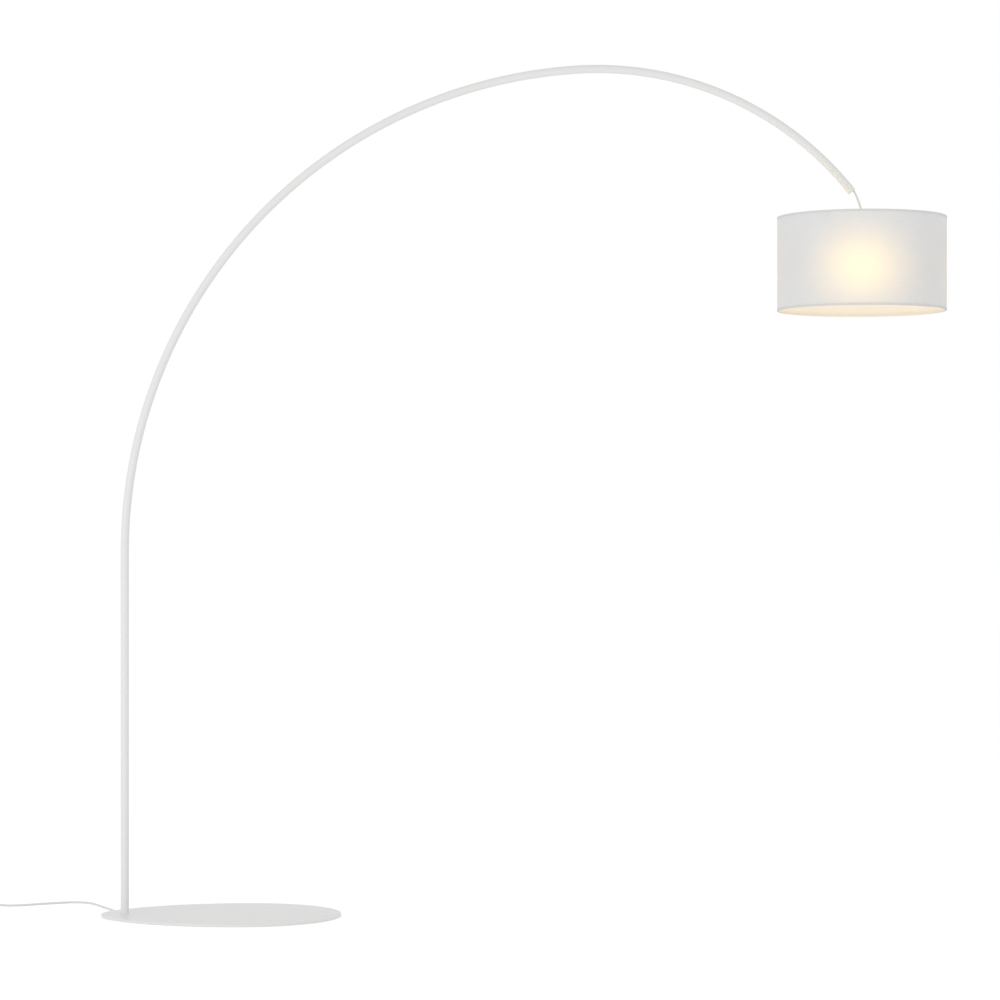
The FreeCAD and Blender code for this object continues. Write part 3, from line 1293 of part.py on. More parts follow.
def make_switch_screws():
    """Three screws up through the lower shell into the cover's bosses."""
    head = "Sizes.switch_screw_head_radius"
    sunk = "(Sizes.switch_screw_head - Sizes.switch_screw_gap)"
    tip = f"({sunk} + Sizes.switch_screw_length - Sizes.switch_screw_end_gap)"
    screws = []
    for index in range(SWITCH_SCREWS):
        body = new_body(f"switch_screw_{index}")
        sketch = new_sketch(body, f"switch_screw_outline_{index}", "XZ_Plane")
        add_outline(sketch, [("0", "0"), (head, "0"), (head, sunk),
                             ("Sizes.switch_screw_radius", sunk),
                             ("Sizes.switch_screw_radius", tip), ("0", tip)])
        revolve(body, f"switch_screw_turned_{index}", sketch)
        cross = new_sketch(body, f"cross_slot_{index}")
        draw_cross(cross, "(Sizes.cross_slot_width / 2)", "(Sizes.cross_slot_length / 2)")
        pocket(body, f"cross_slot_cut_{index}", cross, "Sizes.cross_slot_depth",
               backwards=True)
        turn = math.radians(90 + 360 * index / SWITCH_SCREWS)
        reach = size("switch_boss_circle")
        offset = Vector(reach * math.cos(turn), reach * math.sin(turn),
                        size("switch_screw_gap"))
        body.Placement.Base = SWITCH_CENTRE + offset
        screws.append(body)
    group = doc.addObject("Part::Compound", "switch_screws")
    group.Label = "switch_screws"
    group.Links = screws


def draw_relief(label):
    """Tapered sleeve with a collar at its start, along +Z from the housing's wall."""
    collar = "Sizes.relief_collar"
    stub = "-Sizes.switch_wall"
    length = "Sizes.relief_length"
    return turned_piece(label, [
        ("0", stub), ("Sizes.relief_radius", stub), ("Sizes.relief_radius", "0"),
        ("Sizes.relief_collar_radius", "0"), ("Sizes.relief_collar_radius", collar),
        ("Sizes.relief_radius", collar), ("Sizes.relief_end_radius", length), ("0", length)])


def make_switch_reliefs():
    """One strain relief on each side of the foot switch."""
    for label, way in (("switch_relief_in", 1), ("switch_relief_out", -1)):
        relief = draw_relief(label)
        reach = f"(Sizes.switch_radius + Sizes.relief_gap) * {way} + Sizes.switch_x"
        place(relief, reach, "Sizes.switch_y", "Sizes.switch_parting", str(90 * way))


# ---------------------------------------------------------------------------------------------
# plug, coil and loose cords

def plug_centre():
    """The middle of the plug's front face, from which the pins stand out along +X."""
    reach = size("relief_length") + size("plug_length")
    return PLUG_TAIL + Vector(reach, 0, size("plug_thickness") / 2)


def add_octagon(sketch, width, height, cut):
    """A rectangle with cut corners, centred on the sketch's origin."""
    right = f"({width} / 2)"
    top = f"({height} / 2)"
    inner_right = f"({right} - {cut})"
    inner_top = f"({top} - {cut} / 2)"
    add_outline(sketch, [
        (right, f"-{inner_top}"), (right, inner_top), (inner_right, top),
        (f"-{inner_right}", top), (f"-{right}", inner_top), (f"-{right}", f"-{inner_top}"),
        (f"-{inner_right}", f"-{top}"), (inner_right, f"-{top}")])


def make_plug():
    """Flat two-pin plug: its body tapers from the pins' face to the cord's end."""
    body = new_body("plug_body")
    front = new_sketch(body, "plug_front", "YZ_Plane")
    add_octagon(front, "Sizes.plug_width", "Sizes.plug_thickness", "Sizes.plug_corner")
    shoulder = new_sketch(body, "plug_shoulder", "YZ_Plane", height="-Sizes.plug_shoulder_reach")
    add_octagon(shoulder, "(Sizes.plug_width - Sizes.plug_shoulder_narrowing)",
                "Sizes.plug_thickness", "Sizes.plug_corner")
    tail = new_sketch(body, "plug_tail", "YZ_Plane", height="-Sizes.plug_length")
    add_octagon(tail, "Sizes.plug_tail_width", "Sizes.plug_tail_thickness",
                "Sizes.plug_tail_corner")
    loft = body.newObject("PartDesign::AdditiveLoft", "plug_loft")
    loft.Profile = front
    loft.Sections = [shoulder, tail]
    loft.Ruled = True
    body.Tip = loft
    centre = plug_centre()
    place(body, str(centre.x), str(centre.y), str(centre.z))

    pins = []
    for side in (-1, 1):
        pin = doc.addObject("Part::Cylinder", f"plug_pin_{'left' if side > 0 else 'right'}")
        pin.setExpression("Radius", "Sizes.pin_diameter / 2")
        pin.setExpression("Height", "Sizes.pin_length")
        place(pin, str(centre.x), f"{centre.y} + {side} * Sizes.pin_spacing / 2",
              str(centre.z), "90")
        pins.append(pin)
    group = doc.addObject("Part::Compound", "plug_pins")
    group.Label = "plug_pins"
    group.Links = pins

    relief = turned_piece("plug_relief", [
        ("0", "0"), ("Sizes.relief_radius", "0"),
        ("Sizes.relief_end_radius", "Sizes.relief_length"), ("0", "Sizes.relief_length")])
    tail_x = centre.x - size("plug_length")
    place(relief, str(tail_x), str(centre.y), str(centre.z), "-90")


COIL_HALF = f"(Sizes.coil_rows * {CORD_RADIUS} + Sizes.coil_slack)"
COIL_OUTSIDE = f"(Sizes.coil_middle_radius + {COIL_HALF})"
COIL_INSIDE = f"(Sizes.coil_middle_radius - {COIL_HALF})"
COIL_TOP = "(Sizes.coil_layers * Sizes.cord_diameter + Sizes.coil_slack)"
COIL_SHOULDER = f"({COIL_TOP} - {CORD_RADIUS})"


def make_cord_coil():
    """The outer shape of the put-away coil: neat turns beside and on each other, off the
    floor where their tie runs under them."""
    body = turned_piece("cord_coil", [
        (COIL_INSIDE, "0"), (COIL_OUTSIDE, "0"), (COIL_OUTSIDE, COIL_SHOULDER),
        (f"{COIL_OUTSIDE} - {CORD_RADIUS}", COIL_TOP),
        (f"{COIL_INSIDE} + {CORD_RADIUS}", COIL_TOP), (COIL_INSIDE, COIL_SHOULDER)])
    notch = new_sketch(body, "coil_tie_notch")
    side = "(Sizes.coil_tie_width / 2 + Sizes.coil_tie_clearance)"
    past = f"({COIL_OUTSIDE} + Sizes.cord_diameter)"
    add_outline(notch, [("Sizes.cord_diameter", f"-{side}"), (past, f"-{side}"), (past, side),
                        ("Sizes.cord_diameter", side)])
    pocket(body, "coil_tie_notch_cut", notch,
           "Sizes.coil_tie_thickness + Sizes.coil_tie_clearance", backwards=True)
    place(body, "Sizes.coil_x", "Sizes.coil_y", angle="Sizes.coil_tie_direction", axis=UPRIGHT)


def make_coil_tie():
    """Strap round the coil's turns, doubled on the outside where its loose end sticks."""
    body = new_body("coil_tie")
    thickness = "Sizes.coil_tie_thickness"
    gap = "Sizes.coil_tie_clearance"
    near = f"(sqrt({COIL_INSIDE} ^ 2 - (Sizes.coil_tie_width / 2) ^ 2) - {gap})"
    far = f"({COIL_OUTSIDE} + {gap})"
    high = f"({COIL_TOP} + {gap})"
    crown_start = f"({near} + {CORD_RADIUS})"
    crown_end = f"({COIL_OUTSIDE} - {CORD_RADIUS})"
    strap = new_sketch(body, "coil_tie_outline", "XZ_Plane")
    add_outline(strap, [
        (f"{near} - {thickness}", "0"), (f"{far} + {thickness}", "0"),
        (f"{far} + {thickness}", "Sizes.coil_tie_lap_start"),
        (f"{far} + 2 * {thickness}", "Sizes.coil_tie_lap_start"),
        (f"{far} + 2 * {thickness}", COIL_SHOULDER), (crown_end, f"{high} + {thickness}"),
        (crown_start, f"{high} + {thickness}"), (f"{near} - {thickness}", COIL_SHOULDER)])
    add_outline(strap, [
        (near, thickness), (far, thickness), (far, COIL_SHOULDER), (crown_end, high),
        (crown_start, high), (near, COIL_SHOULDER)])
    pad(body, "coil_tie_strap", strap, "Sizes.coil_tie_width", both_ways=True)
    place(body, "Sizes.coil_x", "Sizes.coil_y", angle="Sizes.coil_tie_direction", axis=UPRIGHT)


def make_loose_cords():
    """The three stretches of cord that lie on the floor."""
    low = number(CORD_RADIUS)
    inlet = size("switch_parting")
    turn = math.radians(size("cord_exit_angle"))
    outwards = Vector(math.cos(turn), math.sin(turn), 0)
    rim = outwards * rim_reach() + Vector(0, 0, low)
    wing = size("switch_radius") + size("relief_gap") + size("relief_length")
    arrival = SWITCH_CENTRE + Vector(wing, 0, inlet)
    make_cord("floor_cord", [
        rim, rim + outwards * size("cord_first_run"),
        Vector(-78, 210, low), Vector(-103, 277, low), Vector(-131, 341, low),
        Vector(-176, 366, low), Vector(-226, 340, low), Vector(-274, 305, low),
        Vector(-320, 270, low), Vector(-352, 265, low),
        arrival + Vector(24, 0, 0), arrival])

    outer_turn = size("coil_middle_radius") + (size("coil_rows") - 1) * low
    side = number(COIL_OUTSIDE)
    touch = math.sqrt(side ** 2 - (outer_turn - low) ** 2)
    departure = SWITCH_CENTRE + Vector(-wing, 0, inlet)
    joining = COIL_CENTRE + Vector(touch, outer_turn, low)
    make_cord("switch_cord", [
        departure, departure - Vector(18, 0, 0), joining + Vector(18, 0, 0), joining])

    top = (2 * size("coil_layers") - 1) * low
    leaving = COIL_CENTRE + Vector(touch, -outer_turn, top)
    tail = PLUG_TAIL + Vector(0, 0, size("plug_thickness") / 2)
    make_cord("plug_cord", [leaving, leaving + Vector(20, 0, -1), tail - Vector(22, 0, 0), tail])


# ---------------------------------------------------------------------------------------------
# build, check and write

def make_everything():
    make_base_plate()
    make_floor_pads()
    make_foot_plug()
    make_foot_screws()
    make_pole_and_arch()
    make_joint_screws()
    make_tip_plug()
    make_inner_cable()
    make_cable_tie()
    make_cord("pendant_cord", pendant_points(), ball_ends=True)
    make_cord_grip()
    make_grip_screw()
    make_holder_lead()
    make_holder_cap()
    make_holder_insert()
    make_contacts()
    make_holder_skirt()
    make_ring_nut()
    make_bulb_globe()
    make_bulb_cap()
    make_shade_carrier()
    make_bottom_ring()
    make_shade_drum()
    make_shade_trim("shade_top_trim", SHADE_TOP, "-", for_spokes=True)
    make_shade_trim("shade_bottom_trim", SHADE_FOOT, "+")
    make_switch_base()
    make_switch_cover()
    make_switch_button()
    make_switch_works()
    make_switch_screws()
    make_switch_reliefs()
    make_plug()
    make_cord_coil()
    make_coil_tie()
    make_loose_cords()


NODES = [
    "base_plate", "floor_pads", "foot_plug", "foot_screws", "pole_tube", "lower_arch_tube",
    "middle_arch_tube", "upper_arch_tube", "pole_spigot", "middle_spigot", "apex_spigot",
    "joint_screws", "tip_plug", "inner_cable", "cable_tie", "pendant_cord", "cord_grip",
    "grip_screw", "holder_lead", "holder_cap", "holder_insert", "screw_shell",
    "centre_contact", "holder_skirt", "ring_nut", "bulb_globe", "bulb_cap", "bulb_tip",
    "shade_carrier", "shade_bottom_ring", "shade_drum", "shade_top_trim",
    "shade_bottom_trim", "switch_base", "switch_cover", "switch_button", "switch_module",
    "switch_plunger", "switch_screws", "switch_relief_in", "switch_relief_out", "plug_body",
    "plug_pins", "plug_relief", "cord_coil", "coil_tie", "floor_cord", "switch_cord",
    "plug_cord",
]


def check_and_write():
    doc.recompute()
    failed = [piece.Name for piece in doc.Objects
              if "Invalid" in piece.State or "Error" in piece.State]
    if failed:
        raise RuntimeError(f"these objects failed: {failed}")
    os.makedirs("parts", exist_ok=True)
    for label in NODES:
        piece = doc.getObjectsByLabel(label)[0]
        if piece.Shape.isNull() or not piece.Shape.isValid():
            raise RuntimeError(f"{label} has no valid shape")
        piece.Shape.exportStep(f"parts/{label}.step")


make_everything()
check_and_write()
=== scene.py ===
"""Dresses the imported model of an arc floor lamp: finishes, fabric shade, cords and studio."""
import json
import math

import bmesh
import bpy
from bpy.props import FloatProperty, FloatVectorProperty, IntProperty, PointerProperty
from mathutils import Matrix, Vector


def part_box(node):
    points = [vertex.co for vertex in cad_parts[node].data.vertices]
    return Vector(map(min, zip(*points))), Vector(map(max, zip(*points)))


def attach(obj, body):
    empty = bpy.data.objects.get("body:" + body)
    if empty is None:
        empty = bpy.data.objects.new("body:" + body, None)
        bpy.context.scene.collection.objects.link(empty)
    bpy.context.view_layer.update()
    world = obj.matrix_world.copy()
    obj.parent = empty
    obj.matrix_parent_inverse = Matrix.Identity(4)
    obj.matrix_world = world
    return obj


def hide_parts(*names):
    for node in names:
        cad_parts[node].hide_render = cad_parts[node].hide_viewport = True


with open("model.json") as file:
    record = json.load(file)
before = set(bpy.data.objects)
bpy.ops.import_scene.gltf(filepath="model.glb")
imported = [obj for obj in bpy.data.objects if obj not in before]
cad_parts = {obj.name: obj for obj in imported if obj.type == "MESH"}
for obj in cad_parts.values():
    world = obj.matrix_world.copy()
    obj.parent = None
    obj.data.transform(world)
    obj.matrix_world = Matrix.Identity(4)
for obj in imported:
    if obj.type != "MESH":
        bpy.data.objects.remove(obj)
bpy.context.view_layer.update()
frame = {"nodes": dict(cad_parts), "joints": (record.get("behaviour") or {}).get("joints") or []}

bl_info = {
    "name": "Arc Floor Lamp",
    "version": (1, 0, 0),
    "blender": (4, 5, 0),
    "location": "View3D > Sidebar > Arc Lamp",
    "description": "Finishes, fabric shade, cords and studio for an arc floor lamp",
    "category": "Object",
}


# ---------------------------------------------------------------------------------------------
# places from the frame, in metres

def middle_of(node):
    low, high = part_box(node)
    return (Vector(low) + Vector(high)) / 2


def top_of(node):
    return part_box(node)[1][2]


def foot_of(node):
    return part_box(node)[0][2]


def half_width_of(node):
    low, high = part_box(node)
    return (high[1] - low[1]) / 2


SHADE_AXIS = middle_of("ring_nut")
COIL_CENTRE = middle_of("cord_coil")


# ---------------------------------------------------------------------------------------------
# values that a user would change

class LampFinish(bpy.types.PropertyGroup):
    """Colours of the finishes, and the light of the bulb."""
    coat: FloatVectorProperty(
        name="Steel Coat", description="Powder coat on plate, pole and arch", subtype="COLOR",
        size=3, default=(0.80, 0.80, 0.795), min=0, max=1)
    fabric: FloatVectorProperty(
        name="Shade Fabric", description="Colour of the linen on the shade", subtype="COLOR",
        size=3, default=(0.772, 0.787, 0.805), min=0, max=1)
    plastic: FloatVectorProperty(
        name="Plastic", description="Lampholder, wires, foot switch and plug", subtype="COLOR",
        size=3, default=(0.80, 0.80, 0.785), min=0, max=1)
    cord: FloatVectorProperty(
        name="Cord", description="Sheath of every cord", subtype="COLOR",
        size=3, default=(0.74, 0.74, 0.73), min=0, max=1)
    bulb: FloatVectorProperty(
        name="Bulb Glass", description="Colour of the lit frosted glass", subtype="COLOR",
        size=3, default=(1.0, 0.86, 0.62), min=0, max=1)
    bulb_strength: FloatProperty(
        name="Bulb Strength", description="How brightly the frosted glass glows",
        default=0.45, min=0)
    bulb_power: FloatProperty(
        name="Bulb Power", description="Light that the bulb gives to the shade and the arch",
        default=1.05, min=0, unit="POWER")
    bulb_tint: FloatVectorProperty(
        name="Bulb Tint", description="Colour of the light that the bulb gives", subtype="COLOR",
        size=3, default=(1.0, 0.60, 0.06), min=0, max=1)


class LampFabric(bpy.types.PropertyGroup):
    """Threads and lap of the shade's linen."""
    thread_pitch: FloatProperty(
        name="Thread Pitch", description="From one thread of the linen to the next",
        default=0.0007, min=0.0001, unit="LENGTH", precision=5)
    slub: FloatProperty(
        name="Slub", description="How uneven the threads are", default=0.10, min=0, max=1,
        subtype="FACTOR")
    lap_width: FloatProperty(
        name="Lap Width", description="Width of the glued lap at the back of the shade",
        default=0.014, min=0, unit="LENGTH", precision=4)
    lap_rise: FloatProperty(
        name="Lap Rise", description="How far the lap stands above the fabric",
        default=0.00035, min=0, unit="LENGTH", precision=5)


class LampCords(bpy.types.PropertyGroup):
    """The round cords, the coil and the strain reliefs."""
    diameter: FloatProperty(
        name="Cord Diameter", description="Outside diameter of the round cord",
        default=0.0056, min=0.003, unit="LENGTH", precision=4)
    turn_points: IntProperty(
        name="Points per Turn", description="Curve points in each turn of the coil",
        default=16, min=12)
    sleeve_ribs: IntProperty(
        name="Sleeve Ribs", description="Ribs on each strain relief", default=7, min=3)


# ---------------------------------------------------------------------------------------------
# node helpers

def add_node(tree, kind, inputs=None, **settings):
    """Adds a node.  Each of its inputs takes a plain value or another node's output."""
    node = tree.nodes.new(kind)
    for name, value in settings.items():
        setattr(node, name, value)
    for key, value in (inputs or {}).items():
        if isinstance(value, bpy.types.NodeSocket):
            tree.links.new(value, node.inputs[key])
        else:
            node.inputs[key].default_value = value
    return node


def add_math(tree, operation, *values):
    """The output of a Math node."""
    return add_node(tree, "ShaderNodeMath", dict(enumerate(values)),
                    operation=operation).outputs[0]


def new_group(name, kind, inputs, outputs):
    """A node group with named sockets, and its input and output nodes."""
    tree = bpy.data.node_groups.new(name, kind)
    for label, socket_type, default in inputs:
        item = tree.interface.new_socket(label, in_out="INPUT", socket_type=socket_type)
        if default is not None:
            item.default_value = default
    for label, socket_type in outputs:
        tree.interface.new_socket(label, in_out="OUTPUT", socket_type=socket_type)
    return tree, tree.nodes.new("NodeGroupInput").outputs, tree.nodes.new("NodeGroupOutput")


def surface_grain_group():
    """Fine grain of a coat or a moulding, with faint broad changes of colour and gloss."""
    found = bpy.data.node_groups.get("surface_grain")
    if found:
        return found
    tree, given, result = new_group(
        "surface_grain", "ShaderNodeTree",
        [("Vector", "NodeSocketVector", None),
         ("Colour", "NodeSocketColor", (0.8, 0.8, 0.8, 1)),
         ("Grain Scale", "NodeSocketFloat", 2500.0),
         ("Mottle Scale", "NodeSocketFloat", 12.0),
         ("Mottle", "NodeSocketFloat", 0.03),
         ("Roughness", "NodeSocketFloat", 0.4)],
        [("Colour", "NodeSocketColor"), ("Roughness", "NodeSocketFloat"),
         ("Height", "NodeSocketFloat")])
    fine = add_node(tree, "ShaderNodeTexNoise", {
        "Vector": given["Vector"], "Scale": given["Grain Scale"], "Detail": 2.0})
    broad = add_node(tree, "ShaderNodeTexNoise", {
        "Vector": given["Vector"], "Scale": given["Mottle Scale"], "Detail": 4.0})
    shade = add_math(tree, "MULTIPLY", broad.outputs["Fac"], given["Mottle"])
    keep = add_math(tree, "SUBTRACT", 1.0, shade)
    colour = add_node(tree, "ShaderNodeVectorMath", {0: given["Colour"], "Scale": keep},
                      operation="SCALE")
    spread = add_math(tree, "MULTIPLY_ADD", broad.outputs["Fac"], 0.10, -0.05)
    rough = add_math(tree, "ADD", given["Roughness"], spread)
    tree.links.new(colour.outputs[0], result.inputs["Colour"])
    tree.links.new(rough, result.inputs["Roughness"])
    tree.links.new(fine.outputs["Fac"], result.inputs["Height"])
    return tree


def plain_weave_group():
    """Plain weave with uneven threads, on a UV map in metres."""
    found = bpy.data.node_groups.get("plain_weave")
    if found:
        return found
    tree, given, result = new_group(
        "plain_weave", "ShaderNodeTree",
        [("Vector", "NodeSocketVector", None),
         ("Colour", "NodeSocketColor", (0.8, 0.8, 0.8, 1)),
         ("Thread Pitch", "NodeSocketFloat", 0.0007),
         ("Slub", "NodeSocketFloat", 0.1)],
        [("Colour", "NodeSocketColor"), ("Height", "NodeSocketFloat")])
    count = add_math(tree, "DIVIDE", 1.0, given["Thread Pitch"])
    threads = add_node(tree, "ShaderNodeVectorMath",
                       {0: given["Vector"], "Scale": count}, operation="SCALE").outputs[0]
    parts = add_node(tree, "ShaderNodeSeparateXYZ", {0: threads}).outputs

    def thread_height(across, along, phase):
        """One set of threads, which pass over and under the other set in turn."""
        index = add_math(tree, "FLOOR", across)
        crossing = add_math(tree, "ADD", add_math(tree, "ADD", along, index), phase)
        wave = add_math(tree, "SINE", add_math(tree, "MULTIPLY", crossing, math.pi))
        level = add_math(tree, "MULTIPLY_ADD", wave, 0.4, 0.6)
        crown = add_math(tree, "ABSOLUTE", add_math(
            tree, "SINE", add_math(tree, "MULTIPLY", across, math.pi)))
        return add_math(tree, "MULTIPLY", crown, level)

    height = add_math(tree, "MAXIMUM", thread_height(parts[0], parts[1], 0.0),
                      thread_height(parts[1], parts[0], 1.0))

    def slubs(stretch):
        """Thick and thin places, long in the direction of the thread."""
        placed = add_node(tree, "ShaderNodeMapping", {"Vector": threads, "Scale": stretch})
        noise = add_node(tree, "ShaderNodeTexNoise", {
            "Vector": placed.outputs[0], "Scale": 1.0, "Detail": 3.0, "Roughness": 0.6})
        return noise.outputs["Fac"]

    uneven = add_math(tree, "ADD", slubs((0.02, 0.45, 1.0)), slubs((0.45, 0.02, 1.0)))
    tone = add_math(tree, "MULTIPLY_ADD", add_math(tree, "SUBTRACT", uneven, 1.0),
                    given["Slub"], 1.0)
    # slub tone, with painted shade: the hollows between the threads are painted up to 6 % darker
    # than the thread crowns
    slub_tone_and_painted_shade = add_math(tree, "MULTIPLY", tone, add_math(tree, "MULTIPLY_ADD", height, 0.06, 0.94))
    colour = add_node(tree, "ShaderNodeVectorMath", {0: given["Colour"], "Scale": slub_tone_and_painted_shade},
                      operation="SCALE")
    tree.links.new(colour.outputs[0], result.inputs["Colour"])
    tree.links.new(height, result.inputs["Height"])
    return tree


# ---------------------------------------------------------------------------------------------
# materials

def new_material(name, **plain):
    """A material with its Principled shader, whose plain sockets take the given values."""
    material = bpy.data.materials.new(name)
    material.use_nodes = True
    shader = material.node_tree.nodes["Principled BSDF"]
    for label, value in plain.items():
        shader.inputs[label.replace("_", " ")].default_value = value
    return material, material.node_tree, shader


def add_bump(tree, shader, height, distance, strength=1.0):
    bump = add_node(tree, "ShaderNodeBump", {
        "Height": height, "Distance": distance, "Strength": strength})
    tree.links.new(bump.outputs["Normal"], shader.inputs["Normal"])


def grained(name, colour, roughness, grain_scale=2500.0, grain_depth=0.00002, mottle=0.03,
            mottle_scale=12.0, **plain):
    """A coated or moulded finish with the shared grain, on Object coordinates."""
    material, tree, shader = new_material(name, **plain)
    place = add_node(tree, "ShaderNodeTexCoord").outputs["Object"]
    grain = add_node(tree, "ShaderNodeGroup", node_tree=surface_grain_group())
    tree.links.new(place, grain.inputs["Vector"])
    grain.inputs["Colour"].default_value = (*colour, 1)
    grain.inputs["Grain Scale"].default_value = grain_scale
    grain.inputs["Mottle Scale"].default_value = mottle_scale
    grain.inputs["Mottle"].default_value = mottle
    grain.inputs["Roughness"].default_value = roughness
    tree.links.new(grain.outputs["Colour"], shader.inputs["Base Color"])
    tree.links.new(grain.outputs["Roughness"], shader.inputs["Roughness"])
    add_bump(tree, shader, grain.outputs["Height"], distance=grain_depth)
    return material


def woven(name, colour, fabric, pitch_factor=1.0, **plain):
    """A woven finish on the piece's own UV map."""
    material, tree, shader = new_material(name, **plain)
    place = add_node(tree, "ShaderNodeUVMap", uv_map="cloth").outputs["UV"]
    weave = add_node(tree, "ShaderNodeGroup", node_tree=plain_weave_group())
    tree.links.new(place, weave.inputs["Vector"])
    weave.inputs["Colour"].default_value = (*colour, 1)
    weave.inputs["Thread Pitch"].default_value = fabric.thread_pitch * pitch_factor
    weave.inputs["Slub"].default_value = fabric.slub
    tree.links.new(weave.outputs["Colour"], shader.inputs["Base Color"])
    add_bump(tree, shader, weave.outputs["Height"], distance=fabric.thread_pitch * 0.3,
             strength=0.6)
    return material


def glowing_glass(name, colour, strength):
    """Frosted glass of a lit bulb, a little dimmer towards its neck.  Its glow isn't sampled
    as a light, since the lamp round it does the lighting."""
    material, tree, shader = new_material(name, Roughness=0.35)
    place = add_node(tree, "ShaderNodeTexCoord").outputs["Object"]
    height = add_node(tree, "ShaderNodeSeparateXYZ", {0: place}).outputs["Z"]
    fade = add_node(tree, "ShaderNodeMapRange", {
        "Value": height, "From Min": foot_of("bulb_globe"), "From Max": top_of("bulb_globe"),
        "To Min": 1.0, "To Max": 0.55}).outputs["Result"]
    frost = add_node(tree, "ShaderNodeTexNoise", {"Vector": place, "Scale": 900.0})
    tone = add_math(tree, "MULTIPLY", fade, add_math(
        tree, "MULTIPLY_ADD", frost.outputs["Fac"], 0.04, 0.98))
    glow = add_node(tree, "ShaderNodeVectorMath", {0: colour, "Scale": tone},
                    operation="SCALE")
    tree.links.new(glow.outputs[0], shader.inputs["Emission Color"])
    shader.inputs["Emission Strength"].default_value = strength
    shader.inputs["Base Color"].default_value = (0.85, 0.84, 0.80, 1)
    material.cycles.emission_sampling = "NONE"
    return material


def sleeved_pin():
    """Nickel plated pin whose first half carries a plastic sleeve.  The Mix node's colours
    A and B are its inputs 6 and 7."""
    material, tree, shader = new_material("sleeved_pin")
    place = add_node(tree, "ShaderNodeTexCoord").outputs["Object"]
    along = add_node(tree, "ShaderNodeSeparateXYZ", {0: place}).outputs["X"]
    bare = add_math(tree, "GREATER_THAN", along, middle_of("plug_pins").x + 0.0005)
    scratches = add_node(tree, "ShaderNodeTexNoise", {"Vector": place, "Scale": 1500.0})
    rough = add_math(tree, "MULTIPLY_ADD", scratches.outputs["Fac"], 0.15, 0.18)
    colour = add_node(tree, "ShaderNodeMix", {
        "Factor": bare, 6: (0.72, 0.72, 0.70, 1), 7: (0.66, 0.63, 0.57, 1)}, data_type="RGBA")
    tree.links.new(colour.outputs[2], shader.inputs["Base Color"])
    tree.links.new(bare, shader.inputs["Metallic"])
    tree.links.new(rough, shader.inputs["Roughness"])
    return material


# ---------------------------------------------------------------------------------------------
# mesh helpers

SAME_PLACE = 0.0001     # radii closer than this count as one


def new_piece(name, mesh, material=None):
    piece = bpy.data.objects.new(name, mesh)
    bpy.context.scene.collection.objects.link(piece)
    if material:
        mesh.materials.append(material)
    return piece


def turned(name, outline, axis, segments, bulge=None):
    """A ring turned about a vertical axis, from a closed outline of (radius, height) points.

    bulge(angle) gives what is added to each outer radius.  The UV map is in metres: along
    the ring, and along the outline."""
    shape = bmesh.new()
    cloth = shape.loops.layers.uv.new("cloth")
    outer = max(radius for radius, _ in outline)
    rings = []
    for step in range(segments):
        angle = 2 * math.pi * step / segments
        extra = bulge(angle) if bulge else 0.0
        ring = []
        for radius, height in outline:
            full = radius + (extra if radius > outer - SAME_PLACE else 0.0)
            ring.append(shape.verts.new((axis.x + full * math.cos(angle),
                                         axis.y + full * math.sin(angle), height)))
        rings.append(ring)
    lengths = [0.0]
    for start, end in zip(outline, outline[1:] + outline[:1]):
        lengths.append(lengths[-1] + math.dist(start, end))
    count = len(outline)
    arc = 2 * math.pi * outer / segments
    for step in range(segments):
        here, there = rings[step], rings[(step + 1) % segments]
        for index in range(count):
            after = (index + 1) % count
            face = shape.faces.new((here[index], there[index], there[after], here[after]))
            face.smooth = True
            places = [(step * arc, lengths[index]), ((step + 1) * arc, lengths[index]),
                      ((step + 1) * arc, lengths[index + 1]), (step * arc, lengths[index + 1])]
            for loop, place in zip(face.loops, places):
                loop[cloth].uv = place
    bmesh.ops.recalc_face_normals(shape, faces=shape.faces)
    mesh = bpy.data.meshes.new(name)
    shape.to_mesh(mesh)
    shape.free()
    return mesh


def mark_sharp(mesh, degrees=35):
    """Smooth faces, with a crease wherever two faces meet at more than an angle."""
    mesh.shade_smooth()
    mesh.set_sharp_from_angle(angle=math.radians(degrees))


def soften(node):
    """Shades a CAD node smoothly: its loose triangles are joined, and its edges kept."""
    piece = frame["nodes"][node]
    piece.data.shade_smooth()
    weld = piece.modifiers.new("join_triangles", "WELD")
    weld.merge_threshold = 1e-6
    edges = piece.modifiers.new("keep_edges", "EDGE_SPLIT")
    edges.split_angle = math.radians(30)


def finish_node(node, material):
    """Gives a CAD node its material."""
    mesh = frame["nodes"][node].data
    mesh.materials.clear()
    mesh.materials.append(material)
    soften(node)


def finish_nodes(nodes, material):
    for node in nodes:
        finish_node(node, material)


# ---------------------------------------------------------------------------------------------
# geometry nodes

SLEEVE_STEPS = 113      # cross-sections along a strain relief


